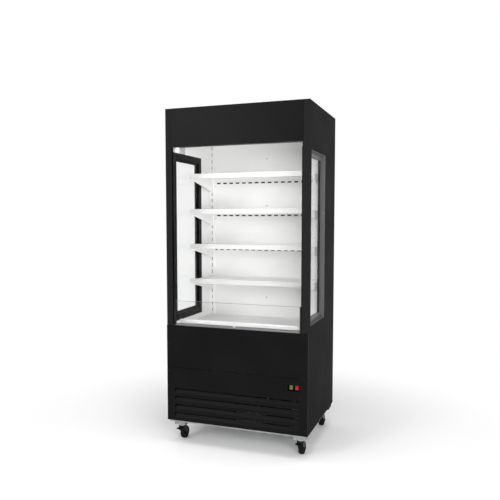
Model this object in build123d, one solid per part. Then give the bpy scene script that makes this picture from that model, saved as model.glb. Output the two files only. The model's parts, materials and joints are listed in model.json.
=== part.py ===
from build123d import *
import os

# Open multideck display fridge, in millimetres.
# Drawn with x to the right, y = 0 at the front face of the posts and growing towards the back,
# and z = 0 on the floor. export() moves the footprint's centre to x = 0, y = 0.

# ---------------------------------------------------------------- overall sizes
WIDTH = 880.0            # over the side panels
HEIGHT = 2020.0          # floor to the top cover
BODY_DEPTH = 673.0       # front face of the posts to the back
PANEL_PROUD = 5.0        # the two front panels stand this far ahead of the posts
SHEET = 1.2              # painted sheet steel
FIT = 0.3                # gap left where one piece drops into another
WALL = 44.0              # side wall, outer skin to the inner face of the liner

# ---------------------------------------------------------------- undercarriage
CASTER_H = 105.0         # floor to the top of the mounting plate
CASTER_IN = 60.0         # swivel axes inside the outer skins
CASTER_FRONT_Y = 77.0    # front swivel axis
CASTER_REAR_IN = 84.0    # rear swivel axis ahead of the back
WHEEL_R = 37.5
WHEEL_W = 30.0
WHEEL_TRAIL = 30.0       # wheel axle behind the swivel axis
AXLE_R = 4.0
RUNNING_FIT = 0.05       # radial play of a shaft in its bore
FORK_GAP = 1.5           # wheel to fork leg
FORK_LEG = 2.5
FORK_LEG_END_R = 10.0
FORK_TOP_Z = 84.0
CROWN_T = 4.0
CROWN_FRONT = 20.0
CROWN_BACK = 24.0
RACE_R = 24.0
RACE_H = 10.0
KINGPIN_R = 5.0
SWIVEL_GAP = 0.4
PLATE_X = 70.0
PLATE_Y = 60.0
PLATE_T = 3.0
PLATE_BOLT_R = 4.0
PLATE_BOLT_HEAD = 2.5
PLATE_BOLT_INSET = 9.0
NUT_R = 7.0
NUT_T = 4.5
HUB_RECESS = 5.0
HUB_R = 11.0
RIM_R = 26.0
TREAD_ROUND = 7.0
PEDAL_PIN_Y = -12.0      # brake pedal pin, from the swivel axis
PEDAL_PIN_Z = 74.0
PEDAL_PIN_R = 2.5
PEDAL_W = 46.0
PEDAL_REACH = 27.0       # pin to the tip of the pedal
PEDAL_T = 7.0
PEDAL_GAP = 2.5          # wide part of the pedal ahead of the fork
PEDAL_SLOPE = 0.14       # rise of the pedal over its reach
RAIL_H = 31.0            # channels between the casters and the base tray
RAIL_W = 70.0
RAIL_WALL = 2.5
RAIL_Y0 = 38.0
RAIL_REAR_IN = 33.0
TRAY_INSET = 12.0        # base tray inside the outer skins
TRAY_T = 2.0
TRAY_LIP = 28.0
TRAY_FRONT_IN = 2.0      # tray behind the post face
TRAY_REAR_IN = 10.0      # tray and vent cover inside the back face
FRAME_LEG = 30.0         # corner angles of the base frame
FRAME_T = 2.0
FRAME_RAIL_W = 50.0
FRAME_RAIL_T = 3.0
PAD_LEN = 96.0           # rounded pads under the rear ends of the side panels
PAD_REAR_IN = 37.0
PAD_DROP = 17.0
PAD_ROUND = 12.0
PAD_HOLD = 14.0

# ---------------------------------------------------------------- front, from the bottom up
SKIRT_GAP = 10.0         # base tray seen below the lower front panel
LOWER_PANEL_H = 327.0
PANEL_GAP = 2.0
UPPER_PANEL_H = 256.0
HEADER_H = 225.0
POST_W = 40.0
HEADER_POST_W = 34.5     # side skin beside the header
SEAM = 1.0
POST_RETURN = 22.0
LEDGE_DEPTH = 24.0       # top ledge of the upper front panel, from the post face
LOUVRE_ROWS = 4
LOUVRE_DROP = 127.0      # top of the first louvre below the panel's top
LOUVRE_PITCH = 49.5
LOUVRE_H = 29.0
LOUVRE_SIDE = 49.0       # plain panel at each end of the louvres
LOUVRE_PRESS = 12.0
LOUVRE_SLOT = 9.0
SCREW_R = 4.5
SCREW_SHANK_R = 2.0
SCREW_LEN = 12.0
TOP_SCREW_IN = 15.0
TOP_SCREW_DROP = 18.0
LOW_SCREW_IN = 19.0
LOW_SCREW_RISE = 30.0

# ---------------------------------------------------------------- switches
POCKET_IN = 84.0         # middle of the switch recess inside the outer skin
POCKET_W = 69.0
POCKET_DROP = 55.5       # and below the panel's top
POCKET_H = 37.0
POCKET_DEPTH = 19.0
POCKET_WALL = 1.8
POCKET_FLANGE = 5.0
ROCKER_X = (-16.5, 18.0)  # rocker centres from the middle of the recess
ROCKER_W = 18.4
ROCKER_H = 24.4
ROCKER_PROUD = 8.0
ROCKER_WAIST = 5.0
ROCKER_BACK = 5.0
ROCKER_TAPER = 0.6       # height at the back, of the height in front
ROCKER_TILT = 8.0        # degrees, each way from level
ROCKER_GAP = 0.5
ROCKER_SWING = 1.6       # room above and below for the rocking ends
ROCKER_PIN_R = 1.5
SWITCH_BODY_DEPTH = 18.0
SWITCH_WALL = 1.5

# ---------------------------------------------------------------- cold box
ROOF_T = 61.0
BACK_T = 61.0
WELL_FLOOR_UP = 5.0      # underside of the insulated well above the foot of the upper panel
WELL_FLOOR_T = 40.0
WELL_WALL = 50.0         # front wall of the well, from the post face
DECK_DROP = 13.0         # deck pan below the top of the upper panel
DECK_FRONT_Y = 74.0
DECK_SLOT_IN = 41.0      # middle of a hand slot inside the liner
DECK_SLOT_AHEAD = 290.0  # front edge of a hand slot ahead of the perforated back
DECK_SLOT_L = 34.0
DECK_SLOT_W = 12.0
DUCT_GAP = 47.0          # front face of the perforated sheet to the insulated back
CEILING_GAP = 79.0       # ceiling sheet below the insulated roof
LEDGE_W = 12.0           # ledge on each liner that carries the deck
LEDGE_T = 2.4
PANEL_PLAY = 0.3         # sheets between the liners

# ---------------------------------------------------------------- side windows
WIN_Y0 = 64.0            # clear glass
WIN_REAR_IN = 321.0      # clear glass ahead of the back
WIN_LOW = 72.0           # above the upper front panel
WIN_HIGH = 75.0          # below the header
SKIN_FRONT = 20.0        # cut-out of the outer skin past the clear glass
SKIN_REAR = 40.0
SKIN_LOW = 34.0
SKIN_HIGH = 32.0
RING_MORE = 8.0          # frame hidden behind the outer skin
TRIM_FRONT = 54.0        # inner trim past the clear glass
TRIM_REAR = 54.0
TRIM_LOW = 52.0
TRIM_HIGH = 48.0
TRIM_T = 2.0
PANE_T = 4.0
PANE_BITE = 7.0
BEVEL = 14.0             # sloping inner edge of the frame
BEVEL_DEPTH = 8.0
FRAME_RECESS = 22.0      # outer face of the frame behind the outer skin
PANE_IN = 1.0            # outer pane behind the outer face of the frame
PANE_SPACE = 6.0
RIM_T = 2.0              # rim of the frame in the cut-out
LAND = 0.8               # rim past the inside of the skin

# ---------------------------------------------------------------- header and ceiling
HEADER_RETURN = 44.0
FASCIA_RETURN = 20.0     # folded ends of the header cover
LAMP_D = 26.0
LAMP_H = 26.0
LAMP_WALL = 1.5
GRILLE_UP = 23.0         # above the foot of the header
GRILLE_T = 18.0
GRILLE_DEPTH = 88.0
GRILLE_BAR = 3.0
GRILLE_CELL = 21.5       # least pitch of the cells
END_PLATE_Y0 = 12.0
END_PLATE_PAST = 10.0    # behind the grille
END_PLATE_UP = 55.0      # above the foot of the header
END_PLATE_T = 2.0

# ---------------------------------------------------------------- rear duct, uprights, shelves
DUCT_SKIRT = 40.0        # perforated sheet below the deck
SLOT_ROW_DROP = (31.0, 28.0, 39.0, 36.0)         # below the top of each shelf
DUCT_SLOT_W = 26.0
DUCT_SLOT_H = 9.0
DUCT_SLOT_PITCH = 45.5
DUCT_SLOT_SHIFT = 4.5    # the rows lie this far to the right of the middle
SHIFTED_ROW = 2          # this row is shifted by half a pitch
PEG_HOLE_UP = (124.0, 37.0, -45.0, -136.0)       # above the top of each shelf
PEG_HOLE_X = 8.0
PEG_HOLE_R = 3.5
UPRIGHT_W = 32.0
UPRIGHT_D = 16.0
UPRIGHT_T = 1.5
UPRIGHT_TOP_DROP = 5.0
UPRIGHT_FOOT = 4.0
HOOK_SLOT_W = 6.0
HOOK_SLOT_H = 24.0
HOOK_SLOT_PITCH = 44.0
SHELVES = 4
SHELF_TOP_DROP = 151.0   # highest shelf below the header
SHELF_REACH = 329.0      # front edge of a shelf ahead of the perforated back
SHELF_SIDE_GAP = 4.5
SHELF_LIP = 18.0
SHELF_REAR_LIP = 18.0
PRICE_RAIL_T = 8.0
PRICE_RAIL_H = 30.0
PRICE_RAIL_STAND = 10.0  # rail above the shelf surface
PRICE_RAIL_SIDE_GAP = 2.5
PRICE_RAIL_ROUND = 6.0
TICKET_GROOVE = 1.0
BRACKET_T = 3.0
BRACKET_FRONT_H = 26.0
BRACKET_REAR_H = 91.0
HOOK_H = 16.0
HOOK_DROP = 15.0
HOOK_REACH = 4.5

# ---------------------------------------------------------------- deck front
NOSING_W = 14.0
NOSING_H = 38.0
NOSING_STEP = 4.0        # front wall behind the lip
NOSING_LIP = 9.0
NOSING_LEDGE = 6.0
NOSING_SCREW_R = 4.0
RETURN_T = 4.0
RETURN_RIM = 1.0
RETURN_SLOT_W = 8.0
RETURN_SLOT_PITCH = 14.6  # least pitch of the slots
GLASS_T = 6.0
GLASS_Y = 12.0
GLASS_UP = 148.0         # above the front ledge
GLASS_SIDE_GAP = 5.0
CHANNEL_WALL = 2.0
CHANNEL_H = 6.0
END_BRACKET_W = 6.0
END_BRACKET_AHEAD = 6.0  # ahead of the glass
END_BRACKET_BEHIND = 6.0
CLIP_X = -12.0
CLIP_W = 9.0
CLIP_H = 34.0
CLIP_T = 3.0

# ---------------------------------------------------------------- refrigeration
COIL_SIDE_GAP = 66.0     # evaporator to the liners
COIL_BEHIND = 95.0       # evaporator to the perforated back
COIL_D = 170.0
COIL_H = 130.0
COIL_FEET = 10.0
FIN_PITCH = 20.0
FIN_GAP = 12.0
FIN_CUT = 30.0
STUB_R = 6.0
STUB_L = 16.0
FAN_PLATE_AHEAD = 50.0   # ahead of the evaporator
EVAP_FAN_EDGE = 14.4     # blade tips to the floor and the deck
EVAP_FAN_HUB_R = 24.0
TIP_GAP = 4.0
FAN_RING_T = 3.0
FAN_SHAFT_R = 4.0
FAN_DEPTH = 22.0
FAN_BLADES = 5
FAN_BLADE_T = 1.6
FAN_CHORD = 0.62         # of the blade's length
FAN_BLADE_TURN = 62.0    # degrees from the fan's plane
STRUT_W = 12.0
STRUT_T = 4.0
STRUT_TURNS = (90, 210, 330)
MOTOR_R = 32.0
MOTOR_L = 38.0
COND_IN = 100.0          # condenser inside the left skin
COND_COMP_GAP = 190.0    # its right end to the compressor's axis
COND_Y0 = 30.0
COND_D = 50.0
COND_DROP = 33.0         # its top below the top of the lower panel
COND_FAN_UP = 7.0        # fan above the middle of the coil
COND_FAN_EDGE = 29.0     # half of the coil past the blade tips
COND_FAN_HUB_R = 28.0
SHROUD_T = 4.0
RING_DEPTH = 26.0
COMP_IN = 270.0          # compressor's axis inside the right skin
COMP_REAR_IN = 343.0
COMP_R = 85.0
COMP_H = 225.0
COMP_FOOT_X = 200.0
COMP_FOOT_Y = 150.0
COMP_FOOT_T = 4.0
COMP_MOUNT_H = 8.0
COMP_MOUNT_R = 10.0
COMP_ROUND = 35.0
COMP_BOX_H = 60.0        # terminal box on its side
COMP_BOX_OUT = 20.0
PIPE_R = 5.0
PIPE_BEND = 15.0
PIPE_GAP = 2.0
RISER_IN = 31.0          # risers inside the liner
LIQUID_IN = 20.0         # liquid stub ahead of the evaporator's rear face
RETURN_PIPE_UP = 70.0    # stubs above the foot of the evaporator
LIQUID_PIPE_UP = 30.0
DISCHARGE_DROP = 40.0    # stub below the top of the condenser
LIQUID_UP = 52.0         # stub above the base tray
DRAIN_IN = 170.0         # drain from the right end of the water tray
DRAIN_BACK = 60.0        # and behind its front wall
DRAIN_R = 10.0
DRAIN_WALL = 1.5
DRAIN_ABOVE_TRAY = 30.0  # end of the spout above the base tray
WATER_TRAY_IN = 110.0    # inside the left skin
WATER_TRAY_COMP_GAP = 150.0
WATER_TRAY_D = 160.0
WATER_TRAY_REAR_IN = 33.0
WATER_TRAY_H = 60.0
WATER_TRAY_WALL = 3.0
BOX_HALF_W = 60.0        # control box behind the switches
BOX_Y0 = 20.0
BOX_D = 80.0
BOX_H = 108.0
BOX_WALL = 1.5
VENT_ROWS = 5
VENT_SIDE = 60.0         # plain cover at each end of the vents
VENT_W = 60.0
VENT_H = 8.0
VENT_PITCH_X = 84.0
VENT_PITCH_Z = 32.0
VENT_RISE = 94.0         # lowest vents above the foot of the cover
GLAND_IN = 110.0
GLAND_RISE = 49.0
GLAND_R = 13.0
GLAND_THREAD_R = 9.0
GLAND_BORE_R = 4.0
GLAND_L = 24.0

# ---------------------------------------------------------------- derived sizes
# heights, from the floor up
BASE_Z = CASTER_H + RAIL_H
TRAY_TOP_Z = BASE_Z + TRAY_T
PANEL_Z0 = BASE_Z + SKIRT_GAP
PANEL_Z1 = PANEL_Z0 + LOWER_PANEL_H
LOUVRE_TOP_Z = PANEL_Z1 - LOUVRE_DROP
POCKET_Z = PANEL_Z1 - POCKET_DROP
UPPER_Z0 = PANEL_Z1 + PANEL_GAP
UPPER_Z1 = UPPER_Z0 + UPPER_PANEL_H
HEADER_Z0 = HEIGHT - HEADER_H
ROOF_Z0 = HEIGHT - ROOF_T
COVER_Z0 = HEIGHT - SHEET
WELL_FLOOR_Z = UPPER_Z0 + WELL_FLOOR_UP
WELL_Z1 = WELL_FLOOR_Z + WELL_FLOOR_T
WELL_TOP_Z = UPPER_Z1 - SHEET                # the front panel's ledge rests here
DECK_Z = UPPER_Z1 - DECK_DROP
DECK_UNDER_Z = DECK_Z - SHEET
CEILING_Z = ROOF_Z0 - CEILING_GAP
GRILLE_Z = HEADER_Z0 + GRILLE_UP
END_PLATE_Z1 = HEADER_Z0 + END_PLATE_UP
WIN_Z0 = UPPER_Z1 + WIN_LOW
WIN_Z1 = HEADER_Z0 - WIN_HIGH
GLASS_Z0 = UPPER_Z1 + CHANNEL_WALL
GLASS_TOP_Z = UPPER_Z1 + GLASS_UP
NOSING_TOP_Z = DECK_Z + NOSING_H
RETURN_Z0 = WELL_TOP_Z
UPRIGHT_TOP_Z = CEILING_Z - UPRIGHT_TOP_DROP
SHELF_TOP_Z = HEADER_Z0 - SHELF_TOP_DROP     # top surface of the highest shelf
SLOTS_PER_SHELF = int((SHELF_TOP_Z - DECK_Z) // (SHELVES * HOOK_SLOT_PITCH))
SHELF_PITCH = HOOK_SLOT_PITCH * SLOTS_PER_SHELF

# widths, from the middle out
HALF = WIDTH / 2
SKIN_IN = HALF - SHEET
LINER_X = HALF - WALL                        # inner face of a side liner
LINER_BACK_X = LINER_X + SHEET
INSIDE = LINER_X - PANEL_PLAY                # half width of what sits between the liners
TRAY_X = HALF - TRAY_INSET
PILLAR_X = TRAY_X - FRAME_LEG
CASTER_X = HALF - CASTER_IN
POST_X = HALF - POST_W
HEADER_POST_X = HALF - HEADER_POST_W
LOUVRE_HALF_W = HALF - LOUVRE_SIDE
TOP_SCREW_X = HALF - TOP_SCREW_IN
LOW_SCREW_X = HALF - LOW_SCREW_IN
POCKET_X = HALF - POCKET_IN
DECK_SLOT_X = LINER_X - DECK_SLOT_IN
SHELF_HALF_W = LINER_X - SHELF_SIDE_GAP
PRICE_RAIL_HALF_W = LINER_X - PRICE_RAIL_SIDE_GAP
UPRIGHT_X0 = INSIDE - UPRIGHT_W
HOOK_X = UPRIGHT_X0 + UPRIGHT_W / 2
DUCT_SLOTS = int((2 * INSIDE - UPRIGHT_W) // DUCT_SLOT_PITCH)
RETURN_SLOTS = int(2 * INSIDE // RETURN_SLOT_PITCH)
TRIM_X = LINER_X - TRIM_T                    # inner face of the window trim
FRAME_FACE_X = HALF - FRAME_RECESS           # outer face of the window frame
OUTER_PANE_X = FRAME_FACE_X - PANE_IN
INNER_PANE_X = OUTER_PANE_X - PANE_T - PANE_SPACE
GLASS_HALF_W = LINER_X - GLASS_SIDE_GAP
END_BRACKET_IN = TRIM_X - PANEL_PLAY - END_BRACKET_W
VENT_COLUMNS = int(2 * (HALF - VENT_SIDE) // VENT_PITCH_X)
GLAND_X = GLAND_IN - HALF

# depths, from the post face back
CENTRE_Y = (BODY_DEPTH - PANEL_PROUD) / 2
CASTER_REAR_Y = BODY_DEPTH - CASTER_REAR_IN
RAIL_Y1 = BODY_DEPTH - RAIL_REAR_IN
PAD_Y0 = BODY_DEPTH - PAD_REAR_IN - PAD_LEN
TRAY_REAR_Y = BODY_DEPTH - TRAY_REAR_IN
FRAME_Y0 = TRAY_FRONT_IN + TRAY_T
FRAME_Y1 = TRAY_REAR_Y - TRAY_T
BACK_Y0 = BODY_DEPTH - BACK_T
DUCT_Y = BACK_Y0 - DUCT_GAP                  # front face of the perforated sheet
DECK_SLOT_Y = DUCT_Y - DECK_SLOT_AHEAD
WIN_Y1 = BODY_DEPTH - WIN_REAR_IN
GRILLE_Y0 = HEADER_RETURN + LAMP_D
GRILLE_Y1 = GRILLE_Y0 + GRILLE_DEPTH
END_PLATE_Y1 = GRILLE_Y1 + END_PLATE_PAST
CHANNEL_Y0 = GLASS_Y - FIT - CHANNEL_WALL
CHANNEL_Y1 = GLASS_Y + GLASS_T + FIT + CHANNEL_WALL
END_BRACKET_Y0 = GLASS_Y - END_BRACKET_AHEAD
END_BRACKET_Y1 = GLASS_Y + GLASS_T + END_BRACKET_BEHIND
UPRIGHT_Y0 = DUCT_Y - UPRIGHT_D
SHELF_FRONT_Y = DUCT_Y - SHELF_REACH
SHELF_REAR_Y = UPRIGHT_Y0 - 2 * FIT
RAIL_FRONT_Y = SHELF_FRONT_Y - PRICE_RAIL_T
NOSING_Y0 = DECK_FRONT_Y + NOSING_LEDGE
NOSING_WALL_Y = NOSING_Y0 + NOSING_STEP
RETURN_Y1 = NOSING_Y0 - FIT
POCKET_Y1 = POCKET_DEPTH - PANEL_PROUD       # back of the recess floor

# borders of the skin's cut-out: front, rear, low, high
SKIN_BORDERS = (SKIN_FRONT, SKIN_REAR, SKIN_LOW, SKIN_HIGH)

# casters and their pedals
LEG_X = WHEEL_W / 2 + FORK_GAP
PEDAL_INSIDE_W = 2 * (LEG_X - FIT)

# refrigeration
COIL_X = LINER_X - COIL_SIDE_GAP
COIL_Y1 = DUCT_Y - COIL_BEHIND
COIL_Y0 = COIL_Y1 - COIL_D
COIL_Z0 = WELL_Z1 + COIL_FEET
FAN_PLATE_Y = COIL_Y0 - FAN_PLATE_AHEAD
EVAP_FAN_Z = (WELL_Z1 + DECK_UNDER_Z) / 2
EVAP_FAN_R = (DECK_UNDER_Z - WELL_Z1) / 2 - EVAP_FAN_EDGE
COMP_X = HALF - COMP_IN
COMP_Y = BODY_DEPTH - COMP_REAR_IN
COND_X0 = COND_IN - HALF
COND_X1 = COMP_X - COND_COMP_GAP
COND_Y1 = COND_Y0 + COND_D
COND_TOP_Z = PANEL_Z1 - COND_DROP
COND_FAN_X = (COND_X0 + COND_X1) / 2
COND_FAN_Z = (TRAY_TOP_Z + COND_TOP_Z) / 2 + COND_FAN_UP
COND_FAN_R = min(COND_X1 - COND_X0, COND_TOP_Z - TRAY_TOP_Z) / 2 - COND_FAN_EDGE
SHROUD_Y0 = COND_Y1
RISER_X = LINER_X - RISER_IN
SUCTION_Y = COMP_Y
LIQUID_Y = COIL_Y1 - LIQUID_IN
RETURN_PIPE_Z = COIL_Z0 + RETURN_PIPE_UP
LIQUID_PIPE_Z = COIL_Z0 + LIQUID_PIPE_UP
DISCHARGE_Z = COND_TOP_Z - DISCHARGE_DROP
LIQUID_Z = TRAY_TOP_Z + LIQUID_UP
WATER_TRAY_X0 = WATER_TRAY_IN - HALF
WATER_TRAY_X1 = COMP_X - WATER_TRAY_COMP_GAP
WATER_TRAY_Y1 = BODY_DEPTH - WATER_TRAY_REAR_IN
WATER_TRAY_Y0 = WATER_TRAY_Y1 - WATER_TRAY_D
DRAIN_X = WATER_TRAY_X1 - DRAIN_IN
DRAIN_Y = WATER_TRAY_Y0 + DRAIN_BACK
DRAIN_END_Z = TRAY_TOP_Z + DRAIN_ABOVE_TRAY
BOX_X0 = POCKET_X - BOX_HALF_W
BOX_X1 = POCKET_X + BOX_HALF_W
BOX_Y1 = BOX_Y0 + BOX_D
VENT_LOW_Z = PANEL_Z0 + VENT_RISE
GLAND_Z = PANEL_Z0 + GLAND_RISE


# ---------------------------------------------------------------- helpers
def block(x0, x1, y0, y1, z0, z1):
    """A box between two corners."""
    centre = Pos((x0 + x1) / 2, (y0 + y1) / 2, (z0 + z1) / 2)
    return centre * Box(abs(x1 - x0), abs(y1 - y0), abs(z1 - z0))


def rod(x, y, z, radius, length, axis):
    """A round bar that starts at a point and runs along +x, +y or +z."""
    bar = Cylinder(radius, length, align=(Align.CENTER, Align.CENTER, Align.MIN))
    turns = {"x": Rot(0, 90, 0), "y": Rot(-90, 0, 0), "z": Rot(0, 0, 0)}
    return Pos(x, y, z) * turns[axis] * bar


def side_profile(points, x0, x1):
    """An outline given as (y, z) points, extruded from x0 to x1."""
    outline = make_face(Polyline(*[(x0, y, z) for y, z in points], close=True))
    return extrude(outline, amount=x1 - x0, dir=(1, 0, 0))


def both_sides(part):
    """The right-hand pieces and their mirror images, as separate solids."""
    return group([part, mirrored(part)])


def mirrored(part):
    return mirror(part, about=Plane.YZ)


def window_block(x0, x1, front, rear, low, high):
    """A block round the clear glass, larger by a border on each edge."""
    return block(x0, x1, WIN_Y0 - front, WIN_Y1 + rear, WIN_Z0 - low, WIN_Z1 + high)


def group(parts):
    """Separate solids that share one node."""
    return Compound([solid for part in parts for solid in part.solids()])


def export(name, part):
    export_step(Pos(0, -CENTRE_Y, 0) * part, f"parts/{name}.step")


# ---------------------------------------------------------------- undercarriage
def base_frame():
    """Galvanised tray with caster channels below it and corner angles that carry the cold box."""
    y0 = TRAY_FRONT_IN
    y1 = TRAY_REAR_Y
    tray = block(-TRAY_X, TRAY_X, y0, y1, BASE_Z, BASE_Z + TRAY_LIP)
    tray -= block(-TRAY_X + TRAY_T, TRAY_X - TRAY_T, y0 + TRAY_T, y1 - TRAY_T, TRAY_TOP_Z, HEIGHT)
    for side in (-1, 1):
        rail = block(-RAIL_W / 2, RAIL_W / 2, RAIL_Y0, RAIL_Y1, CASTER_H, BASE_Z)
        bore = RAIL_W / 2 - RAIL_WALL
        bore_y0 = RAIL_Y0 + RAIL_WALL
        rail -= block(-bore, bore, bore_y0, BODY_DEPTH, CASTER_H + RAIL_WALL, BASE_Z - RAIL_WALL)
        tray += Pos(side * CASTER_X, 0, 0) * rail
        x_in, x_out = side * PILLAR_X, side * (TRAY_X - TRAY_T)
        for y_face, inward in ((FRAME_Y0, 1), (FRAME_Y1, -1)):
            y_wall = y_face + inward * FRAME_T
            y_leg = y_face + inward * FRAME_LEG
            tray += block(x_in, x_out, y_face, y_wall, BASE_Z, WELL_FLOOR_Z)
            tray += block(x_out - side * FRAME_T, x_out, y_face, y_leg, BASE_Z, WELL_FLOOR_Z)
        rail_in = side * (TRAY_X - TRAY_T - FRAME_RAIL_W)
        rail_z0 = WELL_FLOOR_Z - FRAME_RAIL_T
        tray += block(rail_in, x_out, FRAME_Y0, FRAME_Y1, rail_z0, WELL_FLOOR_Z)
    holes = [rod(x, 0, z, SCREW_SHANK_R + FIT, FRAME_LEG, "y") for x, z in panel_screw_places()]
    return tray - holes


def rear_pads():
    """Rounded pads between the tray and the side panels, at the rear."""
    top = PANEL_Z0 + PAD_HOLD
    pad = block(TRAY_X, SKIN_IN, PAD_Y0, PAD_Y0 + PAD_LEN, PANEL_Z0 - PAD_DROP, top)
    low_edges = pad.edges().filter_by(Axis.X).group_by(Axis.Z)[0]
    return both_sides(fillet(low_edges, PAD_ROUND))


def caster_places():
    """Swivel axis of each caster by name."""
    return {
        "front_left": (-CASTER_X, CASTER_FRONT_Y),
        "front_right": (CASTER_X, CASTER_FRONT_Y),
        "rear_left": (-CASTER_X, CASTER_REAR_Y),
        "rear_right": (CASTER_X, CASTER_REAR_Y),
    }


def caster_plate():
    """Bolted plate with the fixed half of the ball race, its kingpin and four bolt heads."""
    plate_z = CASTER_H - PLATE_T
    plate = block(-PLATE_X / 2, PLATE_X / 2, -PLATE_Y / 2, PLATE_Y / 2, plate_z, CASTER_H)
    race_z = plate_z - RACE_H + FORK_LEG
    plate += rod(0, 0, race_z, RACE_R, plate_z - race_z, "z")
    plate += rod(0, 0, FORK_TOP_Z, KINGPIN_R, plate_z - FORK_TOP_Z, "z")
    bolt_x = PLATE_X / 2 - PLATE_BOLT_INSET
    bolt_y = PLATE_Y / 2 - PLATE_BOLT_INSET
    for x in (-bolt_x, bolt_x):
        for y in (-bolt_y, bolt_y):
            plate += rod(x, y, plate_z - PLATE_BOLT_HEAD, PLATE_BOLT_R, PLATE_BOLT_HEAD, "z")
    return plate


def caster_fork():
    """Swivelling fork with the wheel's axle bolt, for a swivel axis at x = 0, y = 0."""
    crown_top = CASTER_H - PLATE_T - RACE_H + FORK_LEG - SWIVEL_GAP
    outside = LEG_X + FORK_LEG
    crown = block(-outside, outside, -CROWN_FRONT, CROWN_BACK, FORK_TOP_Z - CROWN_T, FORK_TOP_Z)
    crown += rod(0, 0, FORK_TOP_Z, RACE_R, crown_top - FORK_TOP_Z, "z")
    crown -= rod(0, 0, 0, KINGPIN_R + RUNNING_FIT, HEIGHT, "z")
    leg_points = [(-CROWN_FRONT, FORK_TOP_Z), (-CROWN_FRONT, PEDAL_PIN_Z - 3 * PEDAL_PIN_R),
                  (WHEEL_TRAIL - FORK_LEG_END_R, WHEEL_R), (WHEEL_TRAIL + FORK_LEG_END_R, WHEEL_R),
                  (CROWN_BACK, FORK_TOP_Z)]
    for x in (-outside, LEG_X):
        crown += side_profile(leg_points, x, x + FORK_LEG)
        crown += rod(x, WHEEL_TRAIL, WHEEL_R, FORK_LEG_END_R, FORK_LEG, "x")
    crown += rod(-outside, WHEEL_TRAIL, WHEEL_R, AXLE_R, 2 * outside, "x")
    for x in (-outside - NUT_T, outside):
        nut = extrude(Plane.YZ * RegularPolygon(NUT_R, 6), NUT_T)
        crown += Pos(x, WHEEL_TRAIL, WHEEL_R) * nut
    return crown


def brake_pin():
    """Pin of the brake pedal, part of a front fork."""
    outside = LEG_X + FORK_LEG
    return rod(-outside, PEDAL_PIN_Y, PEDAL_PIN_Z, PEDAL_PIN_R, 2 * outside, "x")


def caster_wheel():
    """Moulded wheel with a crowned tread and a recessed hub on each face."""
    wheel = rod(-WHEEL_W / 2, 0, 0, WHEEL_R, WHEEL_W, "x")
    wheel = fillet(wheel.edges(), TREAD_ROUND)
    for x in (-WHEEL_W / 2 - HUB_RECESS, WHEEL_W / 2 - HUB_RECESS):
        recess = rod(x, 0, 0, RIM_R, 2 * HUB_RECESS, "x")
        wheel -= recess - rod(x, 0, 0, HUB_R, 2 * HUB_RECESS, "x")
    wheel -= rod(-WHEEL_W, 0, 0, AXLE_R + RUNNING_FIT, 2 * WHEEL_W, "x")
    return Pos(0, WHEEL_TRAIL, WHEEL_R) * wheel


def brake_pedal():
    """Foot pedal on a pin ahead of the wheel, at rest with the brake off and its tip raised."""
    tip_y = PEDAL_PIN_Y - PEDAL_REACH
    tip_z = PEDAL_PIN_Z + PEDAL_REACH * PEDAL_SLOPE
    half_t = PEDAL_T / 2
    nose = [(tip_y, tip_z + half_t), (tip_y - half_t, tip_z), (tip_y, tip_z - half_t)]
    heel_y = PEDAL_PIN_Y + half_t
    heel = [(heel_y, PEDAL_PIN_Z - half_t), (heel_y, PEDAL_PIN_Z + half_t)]
    body = side_profile(nose + heel, -PEDAL_INSIDE_W / 2, PEDAL_INSIDE_W / 2)
    lobe_y = -CROWN_FRONT - PEDAL_GAP
    lobe_z = PEDAL_PIN_Z + (PEDAL_PIN_Y - lobe_y) * PEDAL_SLOPE
    lobe = nose + [(lobe_y, lobe_z - half_t), (lobe_y, lobe_z + half_t)]
    body += side_profile(lobe, -PEDAL_W / 2, PEDAL_W / 2)
    return body - rod(-PEDAL_W, PEDAL_PIN_Y, PEDAL_PIN_Z, PEDAL_PIN_R + RUNNING_FIT, 2 * PEDAL_W, "x")


# ---------------------------------------------------------------- side walls
def side_skin():
    """Right outer skin: side sheet, post face with its inner returns, and the window cut-out."""
    skin = block(SKIN_IN, HALF, 0, BODY_DEPTH, PANEL_Z0, HEIGHT)
    skin += block(POST_X, HALF, 0, SHEET, UPPER_Z0, HEADER_Z0)
    skin += block(POST_X, POST_X + SHEET, 0, POST_RETURN, UPPER_Z1, HEADER_Z0)
    skin += block(HEADER_POST_X, HALF, 0, SHEET, HEADER_Z0, HEIGHT)
    skin += block(HEADER_POST_X, HEADER_POST_X + SHEET, 0, POST_RETURN, HEADER_Z0, COVER_Z0)
    return skin - skin_cut(0)


def skin_cut(x0):
    """The window's cut-out through the wall, from a plane outwards."""
    return window_block(x0, WIDTH, *SKIN_BORDERS)


def ring_block(x0, x1):
    """The window frame's outline inside the wall."""
    return window_block(x0, x1, *[border + RING_MORE for border in SKIN_BORDERS])


def wall_insulation():
    """Right wall insulation between the skin and the liner."""
    foam = block(POST_X + SHEET, SKIN_IN, SHEET, BACK_Y0, WELL_FLOOR_Z, HEADER_Z0)
    foam += block(HEADER_POST_X + SHEET, SKIN_IN, SHEET, BACK_Y0, HEADER_Z0, COVER_Z0)
    foam += block(LINER_BACK_X, SKIN_IN, POST_RETURN + SHEET, BACK_Y0, WELL_FLOOR_Z, COVER_Z0)
    return foam - ring_block(0, FRAME_FACE_X) - skin_cut(FRAME_FACE_X)


def side_liner():
    """Right inner liner with a front lip and the ledge that carries the deck."""
    liner = block(LINER_X, LINER_BACK_X, POST_RETURN, BACK_Y0, WELL_FLOOR_Z, COVER_Z0)
    liner += block(LINER_X, POST_X + SHEET, POST_RETURN, POST_RETURN + SHEET, UPPER_Z1, HEADER_Z0)
    liner -= ring_block(0, WIDTH)
    ledge_z0 = DECK_UNDER_Z - LEDGE_T
    return liner + block(LINER_X - LEDGE_W, LINER_X, DECK_FRONT_Y, DUCT_Y, ledge_z0, DECK_UNDER_Z)


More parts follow.
